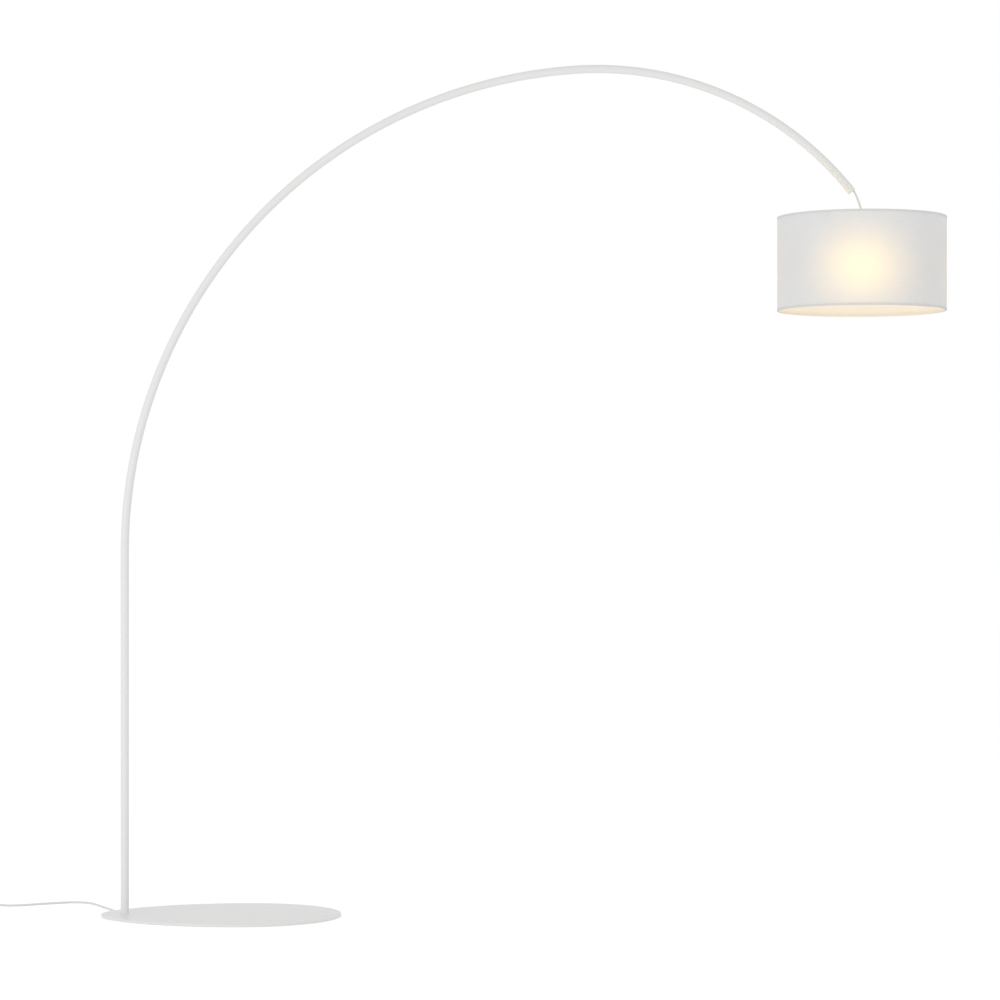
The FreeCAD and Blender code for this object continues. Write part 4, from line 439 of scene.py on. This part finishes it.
def ribbed_sleeve_tree():
    """A tapered sleeve with rounded ribs, along +Z from the origin."""
    found = bpy.data.node_groups.get("ribbed_sleeve")
    if found:
        return found
    tree, given, result = new_group(
        "ribbed_sleeve", "GeometryNodeTree",
        [("Geometry", "NodeSocketGeometry", None),
         ("Length", "NodeSocketFloat", 0.024),
         ("Start Radius", "NodeSocketFloat", 0.0046),
         ("End Radius", "NodeSocketFloat", 0.0034),
         ("Ribs", "NodeSocketFloat", 7.0),
         ("Groove Depth", "NodeSocketFloat", 0.0006),
         ("Material", "NodeSocketMaterial", None)],
        [("Geometry", "NodeSocketGeometry")])
    tip = add_node(tree, "ShaderNodeCombineXYZ", {"Z": given["Length"]})
    line = add_node(tree, "GeometryNodeCurvePrimitiveLine", {"End": tip.outputs[0]})
    fine = add_node(tree, "GeometryNodeResampleCurve", {
        "Curve": line.outputs[0], "Count": SLEEVE_STEPS})
    along = add_node(tree, "GeometryNodeSplineParameter").outputs["Factor"]
    wave = add_math(tree, "COSINE", add_math(
        tree, "MULTIPLY", add_math(tree, "MULTIPLY", along, given["Ribs"]), 2 * math.pi))
    groove = add_math(tree, "MULTIPLY", add_math(tree, "MULTIPLY_ADD", wave, -0.5, 0.5),
                      given["Groove Depth"])
    taper = add_math(tree, "MULTIPLY_ADD", along, add_math(
        tree, "SUBTRACT", given["End Radius"], given["Start Radius"]), given["Start Radius"])
    radius = add_math(tree, "SUBTRACT", taper, groove)
    shaped = add_node(tree, "GeometryNodeSetCurveRadius", {
        "Curve": fine.outputs[0], "Radius": radius})
    section = add_node(tree, "GeometryNodeCurvePrimitiveCircle", {
        "Resolution": 32, "Radius": 1.0})
    skin = add_node(tree, "GeometryNodeCurveToMesh", {
        "Curve": shaped.outputs[0], "Profile Curve": section.outputs[0],
        "Scale": radius, "Fill Caps": True})
    finish_tree(tree, given, result, skin.outputs[0])
    return tree


def finish_tree(tree, given, result, geometry):
    """Every tree ends the same way: real geometry, with its material."""
    real = add_node(tree, "GeometryNodeRealizeInstances", {"Geometry": geometry})
    coated = add_node(tree, "GeometryNodeSetMaterial", {
        "Geometry": real.outputs[0], "Material": given["Material"]})
    tree.links.new(coated.outputs[0], result.inputs["Geometry"])


def row_of_ribs_tree():
    """Rounded grip ribs side by side along X, each as long as its size in Y."""
    found = bpy.data.node_groups.get("row_of_ribs")
    if found:
        return found
    tree, given, result = new_group(
        "row_of_ribs", "GeometryNodeTree",
        [("Geometry", "NodeSocketGeometry", None),
         ("Count", "NodeSocketInt", 6),
         ("Pitch", "NodeSocketFloat", 0.0022),
         ("Rib Size", "NodeSocketVector", (0.001, 0.008, 0.001)),
         ("Material", "NodeSocketMaterial", None)],
        [("Geometry", "NodeSocketGeometry")])
    step = add_node(tree, "ShaderNodeCombineXYZ", {"X": given["Pitch"]})
    line = add_node(tree, "GeometryNodeMeshLine", {
        "Count": given["Count"], "Offset": step.outputs[0]})
    ball = add_node(tree, "GeometryNodeMeshUVSphere", {
        "Segments": 24, "Rings": 12, "Radius": 0.5})
    ribs = add_node(tree, "GeometryNodeInstanceOnPoints", {
        "Points": line.outputs[0], "Instance": ball.outputs[0], "Scale": given["Rib Size"]})
    finish_tree(tree, given, result, ribs.outputs[0])
    return tree


def grown_mesh(name, tree, values, matrix):
    """Runs a tree on an empty mesh and gives its result as a plain mesh, put in place."""
    maker = new_piece(f"{name}_maker", bpy.data.meshes.new(f"{name}_seed"))
    modifier = maker.modifiers.new("maker", "NODES")
    modifier.node_group = tree
    for item in tree.interface.items_tree:
        if item.in_out == "INPUT" and item.name in values:
            modifier[item.identifier] = values[item.name]
    evaluated = maker.evaluated_get(bpy.context.evaluated_depsgraph_get())
    mesh = bpy.data.meshes.new_from_object(evaluated)
    maker.modifiers.remove(modifier)
    bpy.data.objects.remove(maker)
    mesh.name = name
    mesh.transform(matrix)
    return mesh


def add_relief(node, way, ribs, material):
    """A ribbed strain relief in place of a CAD one, thick end first, along way (+X or -X)."""
    low, high = (Vector(corner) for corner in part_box(node))
    start = Vector((low.x if way > 0 else high.x, (low.y + high.y) / 2, (low.z + high.z) / 2))
    turn = Matrix.Rotation(math.copysign(math.pi / 2, way), 4, "Y")
    mesh = grown_mesh(f"{node}_ribbed", ribbed_sleeve_tree(), {
        "Length": high.x - low.x, "Ribs": float(ribs), "Material": material},
        Matrix.Translation(start) @ turn)
    mark_sharp(mesh, 50)
    relief = new_piece(f"{node}_ribbed", mesh)
    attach(relief, "stand")
    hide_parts(node)
    return relief


# ---------------------------------------------------------------------------------------------
# cords

def cord_curve(name, points, diameter, material):
    """A smooth round cord: one open NURBS spline with the route's points."""
    curve = bpy.data.curves.new(name, "CURVE")
    curve.dimensions = "3D"
    curve.resolution_u = 12
    curve.render_resolution_u = 12
    curve.bevel_depth = diameter / 2
    curve.bevel_resolution = 5
    curve.use_fill_caps = True
    spline = curve.splines.new("NURBS")
    spline.points.add(len(points) - 1)
    for target, point in zip(spline.points, points):
        target.co = (*point, 1)
    spline.order_u = 3
    spline.use_endpoint_u = True
    curve.materials.append(material)
    piece = bpy.data.objects.new(name, curve)
    bpy.context.scene.collection.objects.link(piece)
    return piece


# the cord on the floor, from the plate's rim to the foot switch
FLOOR_ROUTE = [
    (-0.0331, 0.0963, 0.0028), (-0.0501, 0.1454, 0.0028), (-0.078, 0.210, 0.0028),
    (-0.103, 0.277, 0.0028), (-0.131, 0.341, 0.0028), (-0.176, 0.366, 0.0028),
    (-0.226, 0.340, 0.0028), (-0.274, 0.305, 0.0028), (-0.320, 0.270, 0.0028),
    (-0.352, 0.265, 0.0028), (-0.3775, 0.264, 0.006), (-0.4015, 0.264, 0.006)]

# from the foot switch to the coil, and from the coil to the plug
COIL_ARRIVAL = [(-0.5125, 0.264, 0.006), (-0.5305, 0.264, 0.006), (-0.5486, 0.264, 0.0028)]
COIL_DEPARTURE = [(-0.5466, 0.1908, 0.0074), (-0.519, 0.176, 0.00685),
                  (-0.497, 0.176, 0.00685)]


# the hanging cord: the way the arch points at its end, the cord's straight stretches there
# and above the cord grip, and how far each of its ends is sunk in its outlet
ARCH_END = Vector((0.6246, 0, -0.7810))
LEAD_OUT = 0.008
LEAD_IN = 0.018
CORD_SUNK = 0.001


# the coil: radius at the middle of its turns, and the factor by which its points are spread,
# because a NURBS curve cuts the corners between its points
COIL_MIDDLE = 0.031
COIL_SPREAD = 1.012
COIL_TURNS = 5.5

# the strap that ties the coil on its -X side
TIE_WIDTH = 0.008
TIE_THICKNESS = 0.0008
TIE_GAP = 0.0001
TIE_EDGE = 0.0003       # rounding of the strap's edges
TIE_SLACK = 0.0004      # room between the strap and the innermost turn
TIE_LOOSE_END = 0.006
CORNER_STEPS = 8        # in each quarter turn of the strap


def coil_turns(diameter, turn_points):
    """Points of the put-away coil: three turns inwards on the floor, then two and a half
    outwards on top of them.  Each turn is round, with a short step to the next, and all of
    them rise a little where the tie runs under them."""
    step_share = 0.2
    points = []
    total = int(COIL_TURNS * turn_points)
    for index in range(total + 1):
        turns = index / turn_points
        whole = int(turns)
        part = turns - whole
        step = max(0.0, (part - 1 + step_share) / step_share)
        step = step * step * (3 - 2 * step)
        rank = whole + step
        row = 1 - rank if rank <= 2 else (-1 if rank < 3 else rank - 4)
        layer = 0 if rank < 2 else min(1.0, rank - 2)
        radius = (COIL_MIDDLE + row * diameter) * COIL_SPREAD
        angle = math.pi / 2 + 2 * math.pi * turns
        # the sixth power keeps the rise close to the tie
        rise = (TIE_THICKNESS + TIE_GAP) * max(0.0, -math.cos(angle)) ** 6
        points.append((COIL_CENTRE.x + radius * math.cos(angle),
                       COIL_CENTRE.y + radius * math.sin(angle),
                       diameter / 2 + layer * diameter + rise))
    return points


def strap_line(corners, radius):
    """A line round four corners, anticlockwise from the lower right one, as points in the
    plane with their outward directions."""
    line = []
    for index, centre in enumerate(corners):
        for step in range(CORNER_STEPS + 1):
            angle = math.radians(90 * (index - 1 + step / CORNER_STEPS))
            way = Vector((math.cos(angle), math.sin(angle)))
            line.append((Vector(centre) + way * radius, way))
    return line


def add_strap(shape, cloth, line, closed):
    """A flat strap along a line in the XZ plane, with rounded edges."""
    half = TIE_WIDTH / 2
    thick = TIE_THICKNESS / 2
    flank = thick * 0.4
    flat = half - TIE_EDGE
    section = [(-half, -flank), (-flat, -thick), (flat, -thick), (half, -flank),
               (half, flank), (flat, thick), (-flat, thick), (-half, flank)]
    rings = [[shape.verts.new((place.x + way.x * out, side, place.y + way.y * out))
              for side, out in section] for place, way in line]
    count = len(section)
    along = [0.0]
    for (start, _), (end, _) in zip(line, line[1:] + line[:1]):
        along.append(along[-1] + (end - start).length)
    for step in range(len(line) if closed else len(line) - 1):
        here, there = rings[step], rings[(step + 1) % len(line)]
        for index in range(count):
            after = (index + 1) % count
            face = shape.faces.new((here[index], here[after], there[after], there[index]))
            places = [(along[step], section[index][0]), (along[step], section[after][0]),
                      (along[step + 1], section[after][0]), (along[step + 1], section[index][0])]
            for loop, place in zip(face.loops, places):
                loop[cloth].uv = place
    if not closed:
        shape.faces.new(reversed(rings[0]))
        shape.faces.new(rings[-1])


def coil_tie_mesh(diameter):
    """The strap round the coil's two layers of three turns, and its loose end on top."""
    shape = bmesh.new()
    cloth = shape.loops.layers.uv.new("cloth")
    outer = (COIL_MIDDLE + diameter) * COIL_SPREAD
    inner = (COIL_MIDDLE - diameter) * COIL_SPREAD - TIE_SLACK
    low = diameter / 2 + TIE_THICKNESS + TIE_GAP
    corners = [(outer, low), (outer, low + diameter), (inner, low + diameter), (inner, low)]
    radius = diameter / 2 + TIE_GAP + TIE_THICKNESS / 2
    add_strap(shape, cloth, strap_line(corners, radius), True)
    lifted = radius + TIE_THICKNESS * 1.05
    lap = strap_line(corners, lifted)[CORNER_STEPS:2 * CORNER_STEPS + 2]
    lap.append((lap[-1][0] - Vector((TIE_LOOSE_END, 0)), lap[-1][1]))
    add_strap(shape, cloth, lap, False)
    bmesh.ops.recalc_face_normals(shape, faces=shape.faces)
    bmesh.ops.rotate(shape, cent=(0, 0, 0), matrix=Matrix.Rotation(math.pi, 3, "Z"),
                     verts=shape.verts)
    bmesh.ops.translate(shape, vec=(COIL_CENTRE.x, COIL_CENTRE.y, 0), verts=shape.verts)
    mesh = bpy.data.meshes.new("coil_strap")
    shape.to_mesh(mesh)
    shape.free()
    mark_sharp(mesh, 50)
    return mesh


# ---------------------------------------------------------------------------------------------
# operators

class ARCLAMP_OT_steel(bpy.types.Operator):
    """Powder coat the plate, pole and arch, and finish their screws, plugs and pads"""
    bl_idname = "arclamp.steel"
    bl_label = "Plate, Pole and Arch"

    def execute(self, context):
        finish = context.scene.lamp_finish
        coat = grained("white_powder_coat", finish.coat, 0.38, grain_scale=1000.0,
                       grain_depth=0.0000025, mottle=0.02, Specular_IOR_Level=0.3)
        finish_nodes(["base_plate", "pole_tube", "lower_arch_tube", "middle_arch_tube",
                      "upper_arch_tube", "joint_screws"], coat)
        zinc = grained("zinc_plate", (0.60, 0.61, 0.62), 0.32, mottle=0.12,
                       mottle_scale=180.0, Metallic=1.0)
        finish_nodes(["foot_plug", "foot_screws", "pole_spigot", "middle_spigot",
                      "apex_spigot", "switch_screws"], zinc)
        rubber = grained("pad_rubber", (0.06, 0.06, 0.06), 0.85, grain_scale=1800.0,
                         grain_depth=0.0001)
        finish_node("floor_pads", rubber)
        plug = grained("tip_plastic", finish.plastic, 0.42)
        finish_nodes(["tip_plug", "cable_tie"], plug)
        return {"FINISHED"}


SKIN_THICKNESS = 0.001
SKIN_ROWS = 12
LAP_ANGLE = math.pi * 0.56      # behind the shade, counter-clockwise from +X


class ARCLAMP_OT_shade(bpy.types.Operator):
    """Cover the shade in linen, with edge tapes, on its coated wire carrier"""
    bl_idname = "arclamp.shade"
    bl_label = "Fabric Shade"

    def execute(self, context):
        finish = context.scene.lamp_finish
        fabric = context.scene.lamp_fabric
        linen = woven("shade_linen", finish.fabric, fabric, Roughness=1.0,
                      Specular_IOR_Level=0.2, Transmission_Weight=0.2, IOR=1.75)
        self.let_out_light(linen)
        foot, top = foot_of("shade_drum"), top_of("shade_drum")
        outer = half_width_of("shade_drum")
        inner = outer - SKIN_THICKNESS
        outline = [(outer, foot + (top - foot) * row / SKIN_ROWS)
                   for row in range(SKIN_ROWS + 1)]
        outline += [(inner, top), (inner, foot)]
        lap = fabric.lap_width / outer / 2

        def bulge(angle):
            away = abs(angle - LAP_ANGLE)
            return fabric.lap_rise if away < lap else 0.0

        mesh = turned("shade_fabric", outline, SHADE_AXIS, segments=480, bulge=bulge)
        mark_sharp(mesh)
        skin = new_piece("shade_fabric", mesh, linen)
        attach(skin, "shade")
        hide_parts("shade_drum")

        grey = finish.fabric[0] * 0.95
        tape = woven("edge_tape", (grey, grey, grey), fabric, pitch_factor=0.8,
                     Roughness=0.8, Specular_IOR_Level=0.2)
        self.add_tape("shade_top_tape", "shade_top_trim", tape, top_of("shade_top_trim"), -1)
        self.add_tape("shade_bottom_tape", "shade_bottom_trim", tape,
                      foot_of("shade_bottom_trim"), 1)

        wire = grained("white_wire", finish.plastic, 0.35, grain_scale=900.0)
        finish_nodes(["shade_carrier", "shade_bottom_ring"], wire)
        return {"FINISHED"}

    def let_out_light(self, material):
        """Light scatters once, where it enters the skin, and leaves it straight."""
        tree = material.node_tree
        leaving = add_node(tree, "ShaderNodeNewGeometry").outputs["Backfacing"]
        kept = add_math(tree, "SUBTRACT", 1.0, leaving)
        tree.links.new(kept, tree.nodes["Principled BSDF"].inputs["Alpha"])

    def add_tape(self, name, node, material, edge, way):
        """One folded edge tape, with rounded folds."""
        outer = half_width_of(node)
        thickness = 0.0005
        depth = 0.0052
        hem = 0.0055
        fold = 0.0004
        corner = fold * 0.3
        thinned = 0.0001
        outline = [(outer - thinned, edge + way * hem),
                   (outer, edge + way * (hem - 2 * thinned)),
                   (outer, edge + way * fold), (outer - corner, edge + way * corner),
                   (outer - fold, edge), (outer - depth + fold, edge),
                   (outer - depth + corner, edge + way * corner),
                   (outer - depth, edge + way * fold), (outer - depth, edge + way * hem),
                   (outer - depth + thickness, edge + way * hem),
                   (outer - depth + thickness, edge + way * thickness),
                   (outer - thickness, edge + way * thickness),
                   (outer - thickness, edge + way * hem)]
        mesh = turned(name, outline, SHADE_AXIS, segments=240)
        mark_sharp(mesh, 50)
        tape = new_piece(name, mesh, material)
        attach(tape, "shade")
        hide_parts(node)


LAMP_CLEARANCE = 0.003      # from the bulb's glass out to the edge of the lamp

# what the lamp leaves out
NEAR_BULB = ("bulb_globe", "bulb_cap", "holder_skirt", "ring_nut", "holder_cap")


class ARCLAMP_OT_lampholder(bpy.types.Operator):
    """Finish the lampholder and light its bulb"""
    bl_idname = "arclamp.lampholder"
    bl_label = "Lampholder and Bulb"

    def execute(self, context):
        finish = context.scene.lamp_finish
        plastic = grained("holder_plastic", finish.plastic, 0.35)
        finish_nodes(["cord_grip", "grip_screw", "holder_cap", "holder_skirt", "ring_nut"],
                     plastic)
        ceramic = grained("insulating_ceramic", (0.80, 0.79, 0.75), 0.25, grain_scale=600.0)
        finish_node("holder_insert", ceramic)
        brass = grained("sheet_brass", (0.70, 0.55, 0.28), 0.3, mottle=0.15,
                        mottle_scale=150.0, Metallic=1.0)
        finish_nodes(["screw_shell", "centre_contact", "bulb_tip"], brass)
        tin = grained("bulb_cap_metal", (0.66, 0.66, 0.66), 0.3, mottle=0.1,
                      mottle_scale=200.0, Metallic=1.0)
        finish_node("bulb_cap", tin)
        glass = glowing_glass("lit_bulb", finish.bulb, finish.bulb_strength)
        finish_node("bulb_globe", glass)
        self.add_bulb_light(finish)
        return {"FINISHED"}

    def add_bulb_light(self, finish):
        """The bulb's light comes from a lamp just outside its glass. It leaves
        out the glass and the lampholder: so close to it they would throw specks."""
        radius = half_width_of("bulb_globe")
        data = bpy.data.lights.new("bulb_light", "POINT")
        data.energy = finish.bulb_power
        data.color = finish.bulb_tint
        data.shadow_soft_size = radius + LAMP_CLEARANCE
        data.use_soft_falloff = False
        lamp = bpy.data.objects.new("bulb_light", data)
        lamp.location = (*SHADE_AXIS.xy, foot_of("bulb_globe") + radius)
        lamp.parent = frame["nodes"]["bulb_globe"]
        lamp.visible_camera = False
        lamp.visible_glossy = False
        bpy.context.scene.collection.objects.link(lamp)
        unlit = bpy.data.collections.new("too_close_to_bulb")
        for name in NEAR_BULB:
            unlit.objects.link(frame["nodes"][name])
        for item in unlit.collection_objects:
            item.light_linking.link_state = "EXCLUDE"
        lamp.light_linking.receiver_collection = unlit


class ARCLAMP_OT_cords(bpy.types.Operator):
    """Lay the mains cord with its put-away coil, and hang the shade's cord"""
    bl_idname = "arclamp.cords"
    bl_label = "Cords"

    def execute(self, context):
        cords = context.scene.lamp_cords
        finish = context.scene.lamp_finish
        sheath = grained("cord_sheath", finish.cord, 0.4, grain_scale=500.0,
                         grain_depth=0.00001, mottle=0.04, mottle_scale=40.0)
        soft = grained("soft_relief", finish.plastic, 0.55)
        switch_in = add_relief("switch_relief_in", 1, cords.sleeve_ribs, soft)
        switch_out = add_relief("switch_relief_out", -1, cords.sleeve_ribs, soft)
        plug_relief = add_relief("plug_relief", -1, cords.sleeve_ribs, soft)
        self.lay_mains_cord(cords, sheath, [switch_in, switch_out])
        tie = self.tie_coil(cords, context.scene.lamp_fabric)
        self.lay_coiled_cord(cords, sheath, plug_relief, tie)
        self.hang_shade_cord(cords, sheath)
        finish_nodes(["inner_cable", "holder_lead"], sheath)
        return {"FINISHED"}

    def lay_mains_cord(self, cords, sheath, reliefs):
        """The cord from the plate to the foot switch, which it carries at its end."""
        floor_cord = cord_curve("mains_cord", FLOOR_ROUTE, cords.diameter, sheath)
        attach(floor_cord, "stand")
        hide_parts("floor_cord")

    def tie_coil(self, cords, fabric):
        """The woven strap round the coil."""
        strap = woven("tie_strap", (0.72, 0.72, 0.71), fabric, pitch_factor=0.9,
                      Roughness=0.9, Sheen_Weight=0.2)
        tie = new_piece("coil_strap", coil_tie_mesh(cords.diameter), strap)
        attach(tie, "stand")
        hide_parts("coil_tie")
        return tie

    def lay_coiled_cord(self, cords, sheath, relief, tie):
        """The cord from the foot switch through the coil to the plug."""
        route = COIL_ARRIVAL + coil_turns(cords.diameter, cords.turn_points) + COIL_DEPARTURE
        plug_cord = cord_curve("coiled_cord", route, cords.diameter, sheath)
        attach(plug_cord, "stand")
        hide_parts("switch_cord", "cord_coil", "plug_cord")

    def hang_shade_cord(self, cords, sheath):
        """The bare cord from the arch's end down to the cord grip."""
        joints = {joint["name"]: joint for joint in frame["joints"]}
        outlet = Vector(joints["cord_side_swing"]["pos_m"])
        grip = Vector(joints["shade_swing"]["pos_m"])
        upward = Vector((0, 0, 1))
        hanging = [outlet - ARCH_END * CORD_SUNK, outlet + ARCH_END * LEAD_OUT,
                   grip + upward * LEAD_IN, grip - upward * CORD_SUNK]
        pendant = cord_curve("pendant_sheath", hanging, cords.diameter, sheath)
        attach(pendant, "pendant_cord")
        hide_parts("pendant_cord")


class ARCLAMP_OT_foot_switch(bpy.types.Operator):
    """Finish the foot switch, its button and its works"""
    bl_idname = "arclamp.foot_switch"
    bl_label = "Foot Switch"

    def execute(self, context):
        finish = context.scene.lamp_finish
        shell = grained("switch_shell", finish.plastic, 0.3, grain_scale=1600.0)
        finish_nodes(["switch_base", "switch_cover", "switch_button", "switch_plunger"], shell)
        black = grained("module_plastic", (0.03, 0.03, 0.03), 0.45)
        finish_node("switch_module", black)
        return {"FINISHED"}


RIB_COUNT = 5
RIB_PITCH = 0.0024
RIB_SIZE = (0.0012, 0.011, 0.0010)
RIBS_BACK = 0.0145      # from the pins' face back to the first rib, all on the flat top


class ARCLAMP_OT_plug(bpy.types.Operator):
    """Finish the plug with its pins, and add its grip ribs"""
    bl_idname = "arclamp.plug"
    bl_label = "Plug"

    def execute(self, context):
        finish = context.scene.lamp_finish
        shell = grained("plug_shell", finish.plastic, 0.32, grain_scale=1600.0)
        finish_node("plug_body", shell)
        finish_node("plug_pins", sleeved_pin())
        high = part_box("plug_body")[1]
        middle = middle_of("plug_body")
        start = Vector((high[0] - RIBS_BACK, middle.y, high[2]))
        mesh = grown_mesh("plug_ribs", row_of_ribs_tree(), {
            "Count": RIB_COUNT, "Pitch": RIB_PITCH, "Rib Size": RIB_SIZE,
            "Material": shell}, Matrix.Translation(start))
        mark_sharp(mesh, 60)
        ribs = new_piece("plug_ribs", mesh)
        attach(ribs, "stand")
        return {"FINISHED"}


SOFTBOX_SIZE = 4.0
SOFTBOX_TARGET = (0.9, 0.0, 1.2)
FLOOR_REACH = 60.0
FLOOR_GLOW = 0.19           # lifts the floor for light that falls on the lamp
FLOOR_SEEN_GLOW = 0.22      # and this much more where the floor itself is seen
WORLD_STRENGTH = 0.76


class ARCLAMP_OT_stage(bpy.types.Operator):
    """Set up the floor, the soft studio light and the camera"""
    bl_idname = "arclamp.stage"
    bl_label = "Studio"

    def execute(self, context):
        self.add_floor()
        self.add_world(context.scene)
        self.add_light("left_softbox", (-3.5, -5.0, 1.6), power=88.0)
        self.add_light("right_softbox", (5.5, -4.5, 1.0), power=34.0)
        data = bpy.data.cameras.new("camera")
        data.sensor_width = 36.0
        data.lens = 126.0
        data.shift_x = 0.0003
        data.shift_y = 0.065
        data.clip_end = 100.0
        camera = bpy.data.objects.new("camera", data)
        camera.location = (1.000, -9.336, 0.937)
        camera.rotation_euler = (math.pi / 2, 0.0, 0.0)
        context.scene.collection.objects.link(camera)
        context.scene.camera = camera
        context.scene.view_settings.view_transform = "Standard"
        return {"FINISHED"}

    def seen_directly(self, tree):
        """1 for rays that show the studio itself: from the camera, a gloss or the shade."""
        path = add_node(tree, "ShaderNodeLightPath").outputs
        mirrored = add_math(tree, "MAXIMUM", path["Is Glossy Ray"],
                            path["Is Transmission Ray"])
        return add_math(tree, "MAXIMUM", path["Is Camera Ray"], mirrored)

    def add_floor(self):
        material, tree, shader = new_material("studio_floor", Roughness=0.9,
                                              Specular_IOR_Level=0.0)
        shader.inputs["Base Color"].default_value = (0.80, 0.80, 0.80, 1)
        shader.inputs["Emission Color"].default_value = (1, 1, 1, 1)
        lift = add_math(tree, "MULTIPLY_ADD", self.seen_directly(tree), FLOOR_SEEN_GLOW,
                        FLOOR_GLOW)
        tree.links.new(lift, shader.inputs["Emission Strength"])
        mesh = bpy.data.meshes.new("studio_floor")
        reach = FLOOR_REACH
        corners = [(-reach, -reach, 0), (reach, -reach, 0), (reach, reach, 0),
                   (-reach, reach, 0)]
        mesh.from_pydata(corners, [], [(0, 1, 2, 3)])
        new_piece("studio_floor", mesh, material)

    def add_world(self, scene):
        world = bpy.data.worlds.new("studio")
        world.use_nodes = True
        tree = world.node_tree
        tree.nodes.clear()
        lighting = add_node(tree, "ShaderNodeBackground", {
            "Strength": WORLD_STRENGTH})
        lighting.inputs["Color"].default_value = (1, 1, 1, 1)
        seen = add_node(tree, "ShaderNodeBackground", {"Strength": 1.0})
        seen.inputs["Color"].default_value = (1, 1, 1, 1)
        mix = add_node(tree, "ShaderNodeMixShader", {
            "Fac": self.seen_directly(tree), 1: lighting.outputs[0], 2: seen.outputs[0]})
        output = add_node(tree, "ShaderNodeOutputWorld")
        tree.links.new(mix.outputs[0], output.inputs["Surface"])
        scene.world = world

    def add_light(self, name, place, power):
        """A square softbox that faces the middle of the lamp."""
        data = bpy.data.lights.new(name, "AREA")
        data.shape = "SQUARE"
        data.size = SOFTBOX_SIZE
        data.energy = power
        light = bpy.data.objects.new(name, data)
        light.location = place
        aim = Vector(SOFTBOX_TARGET) - Vector(place)
        light.rotation_euler = aim.to_track_quat("-Z", "Y").to_euler()
        bpy.context.scene.collection.objects.link(light)


class ARCLAMP_PT_panel(bpy.types.Panel):
    """Lists the steps that dress the lamp"""
    bl_label = "Arc Floor Lamp"
    bl_idname = "ARCLAMP_PT_panel"
    bl_space_type = "VIEW_3D"
    bl_region_type = "UI"
    bl_category = "Arc Lamp"

    def draw(self, context):
        for operator in OPERATORS:
            self.layout.operator(operator.bl_idname)
        for group in (context.scene.lamp_finish, context.scene.lamp_fabric,
                      context.scene.lamp_cords):
            for name in group.bl_rna.properties.keys():
                if name not in ("rna_type", "name"):
                    self.layout.prop(group, name)


OPERATORS = [ARCLAMP_OT_stage, ARCLAMP_OT_cords, ARCLAMP_OT_steel, ARCLAMP_OT_shade,
             ARCLAMP_OT_lampholder, ARCLAMP_OT_foot_switch, ARCLAMP_OT_plug]
CLASSES = [LampFinish, LampFabric, LampCords, *OPERATORS, ARCLAMP_PT_panel]


def register():
    for item in CLASSES:
        bpy.utils.register_class(item)
    bpy.types.Scene.lamp_finish = PointerProperty(type=LampFinish)
    bpy.types.Scene.lamp_fabric = PointerProperty(type=LampFabric)
    bpy.types.Scene.lamp_cords = PointerProperty(type=LampCords)


def unregister():
    del bpy.types.Scene.lamp_cords
    del bpy.types.Scene.lamp_fabric
    del bpy.types.Scene.lamp_finish
    for item in reversed(CLASSES):
        bpy.utils.unregister_class(item)


def main():
    register()
    for operator in OPERATORS:
        group, name = operator.bl_idname.split(".")
        getattr(getattr(bpy.ops, group), name)()


if __name__ == "__main__":
    main()
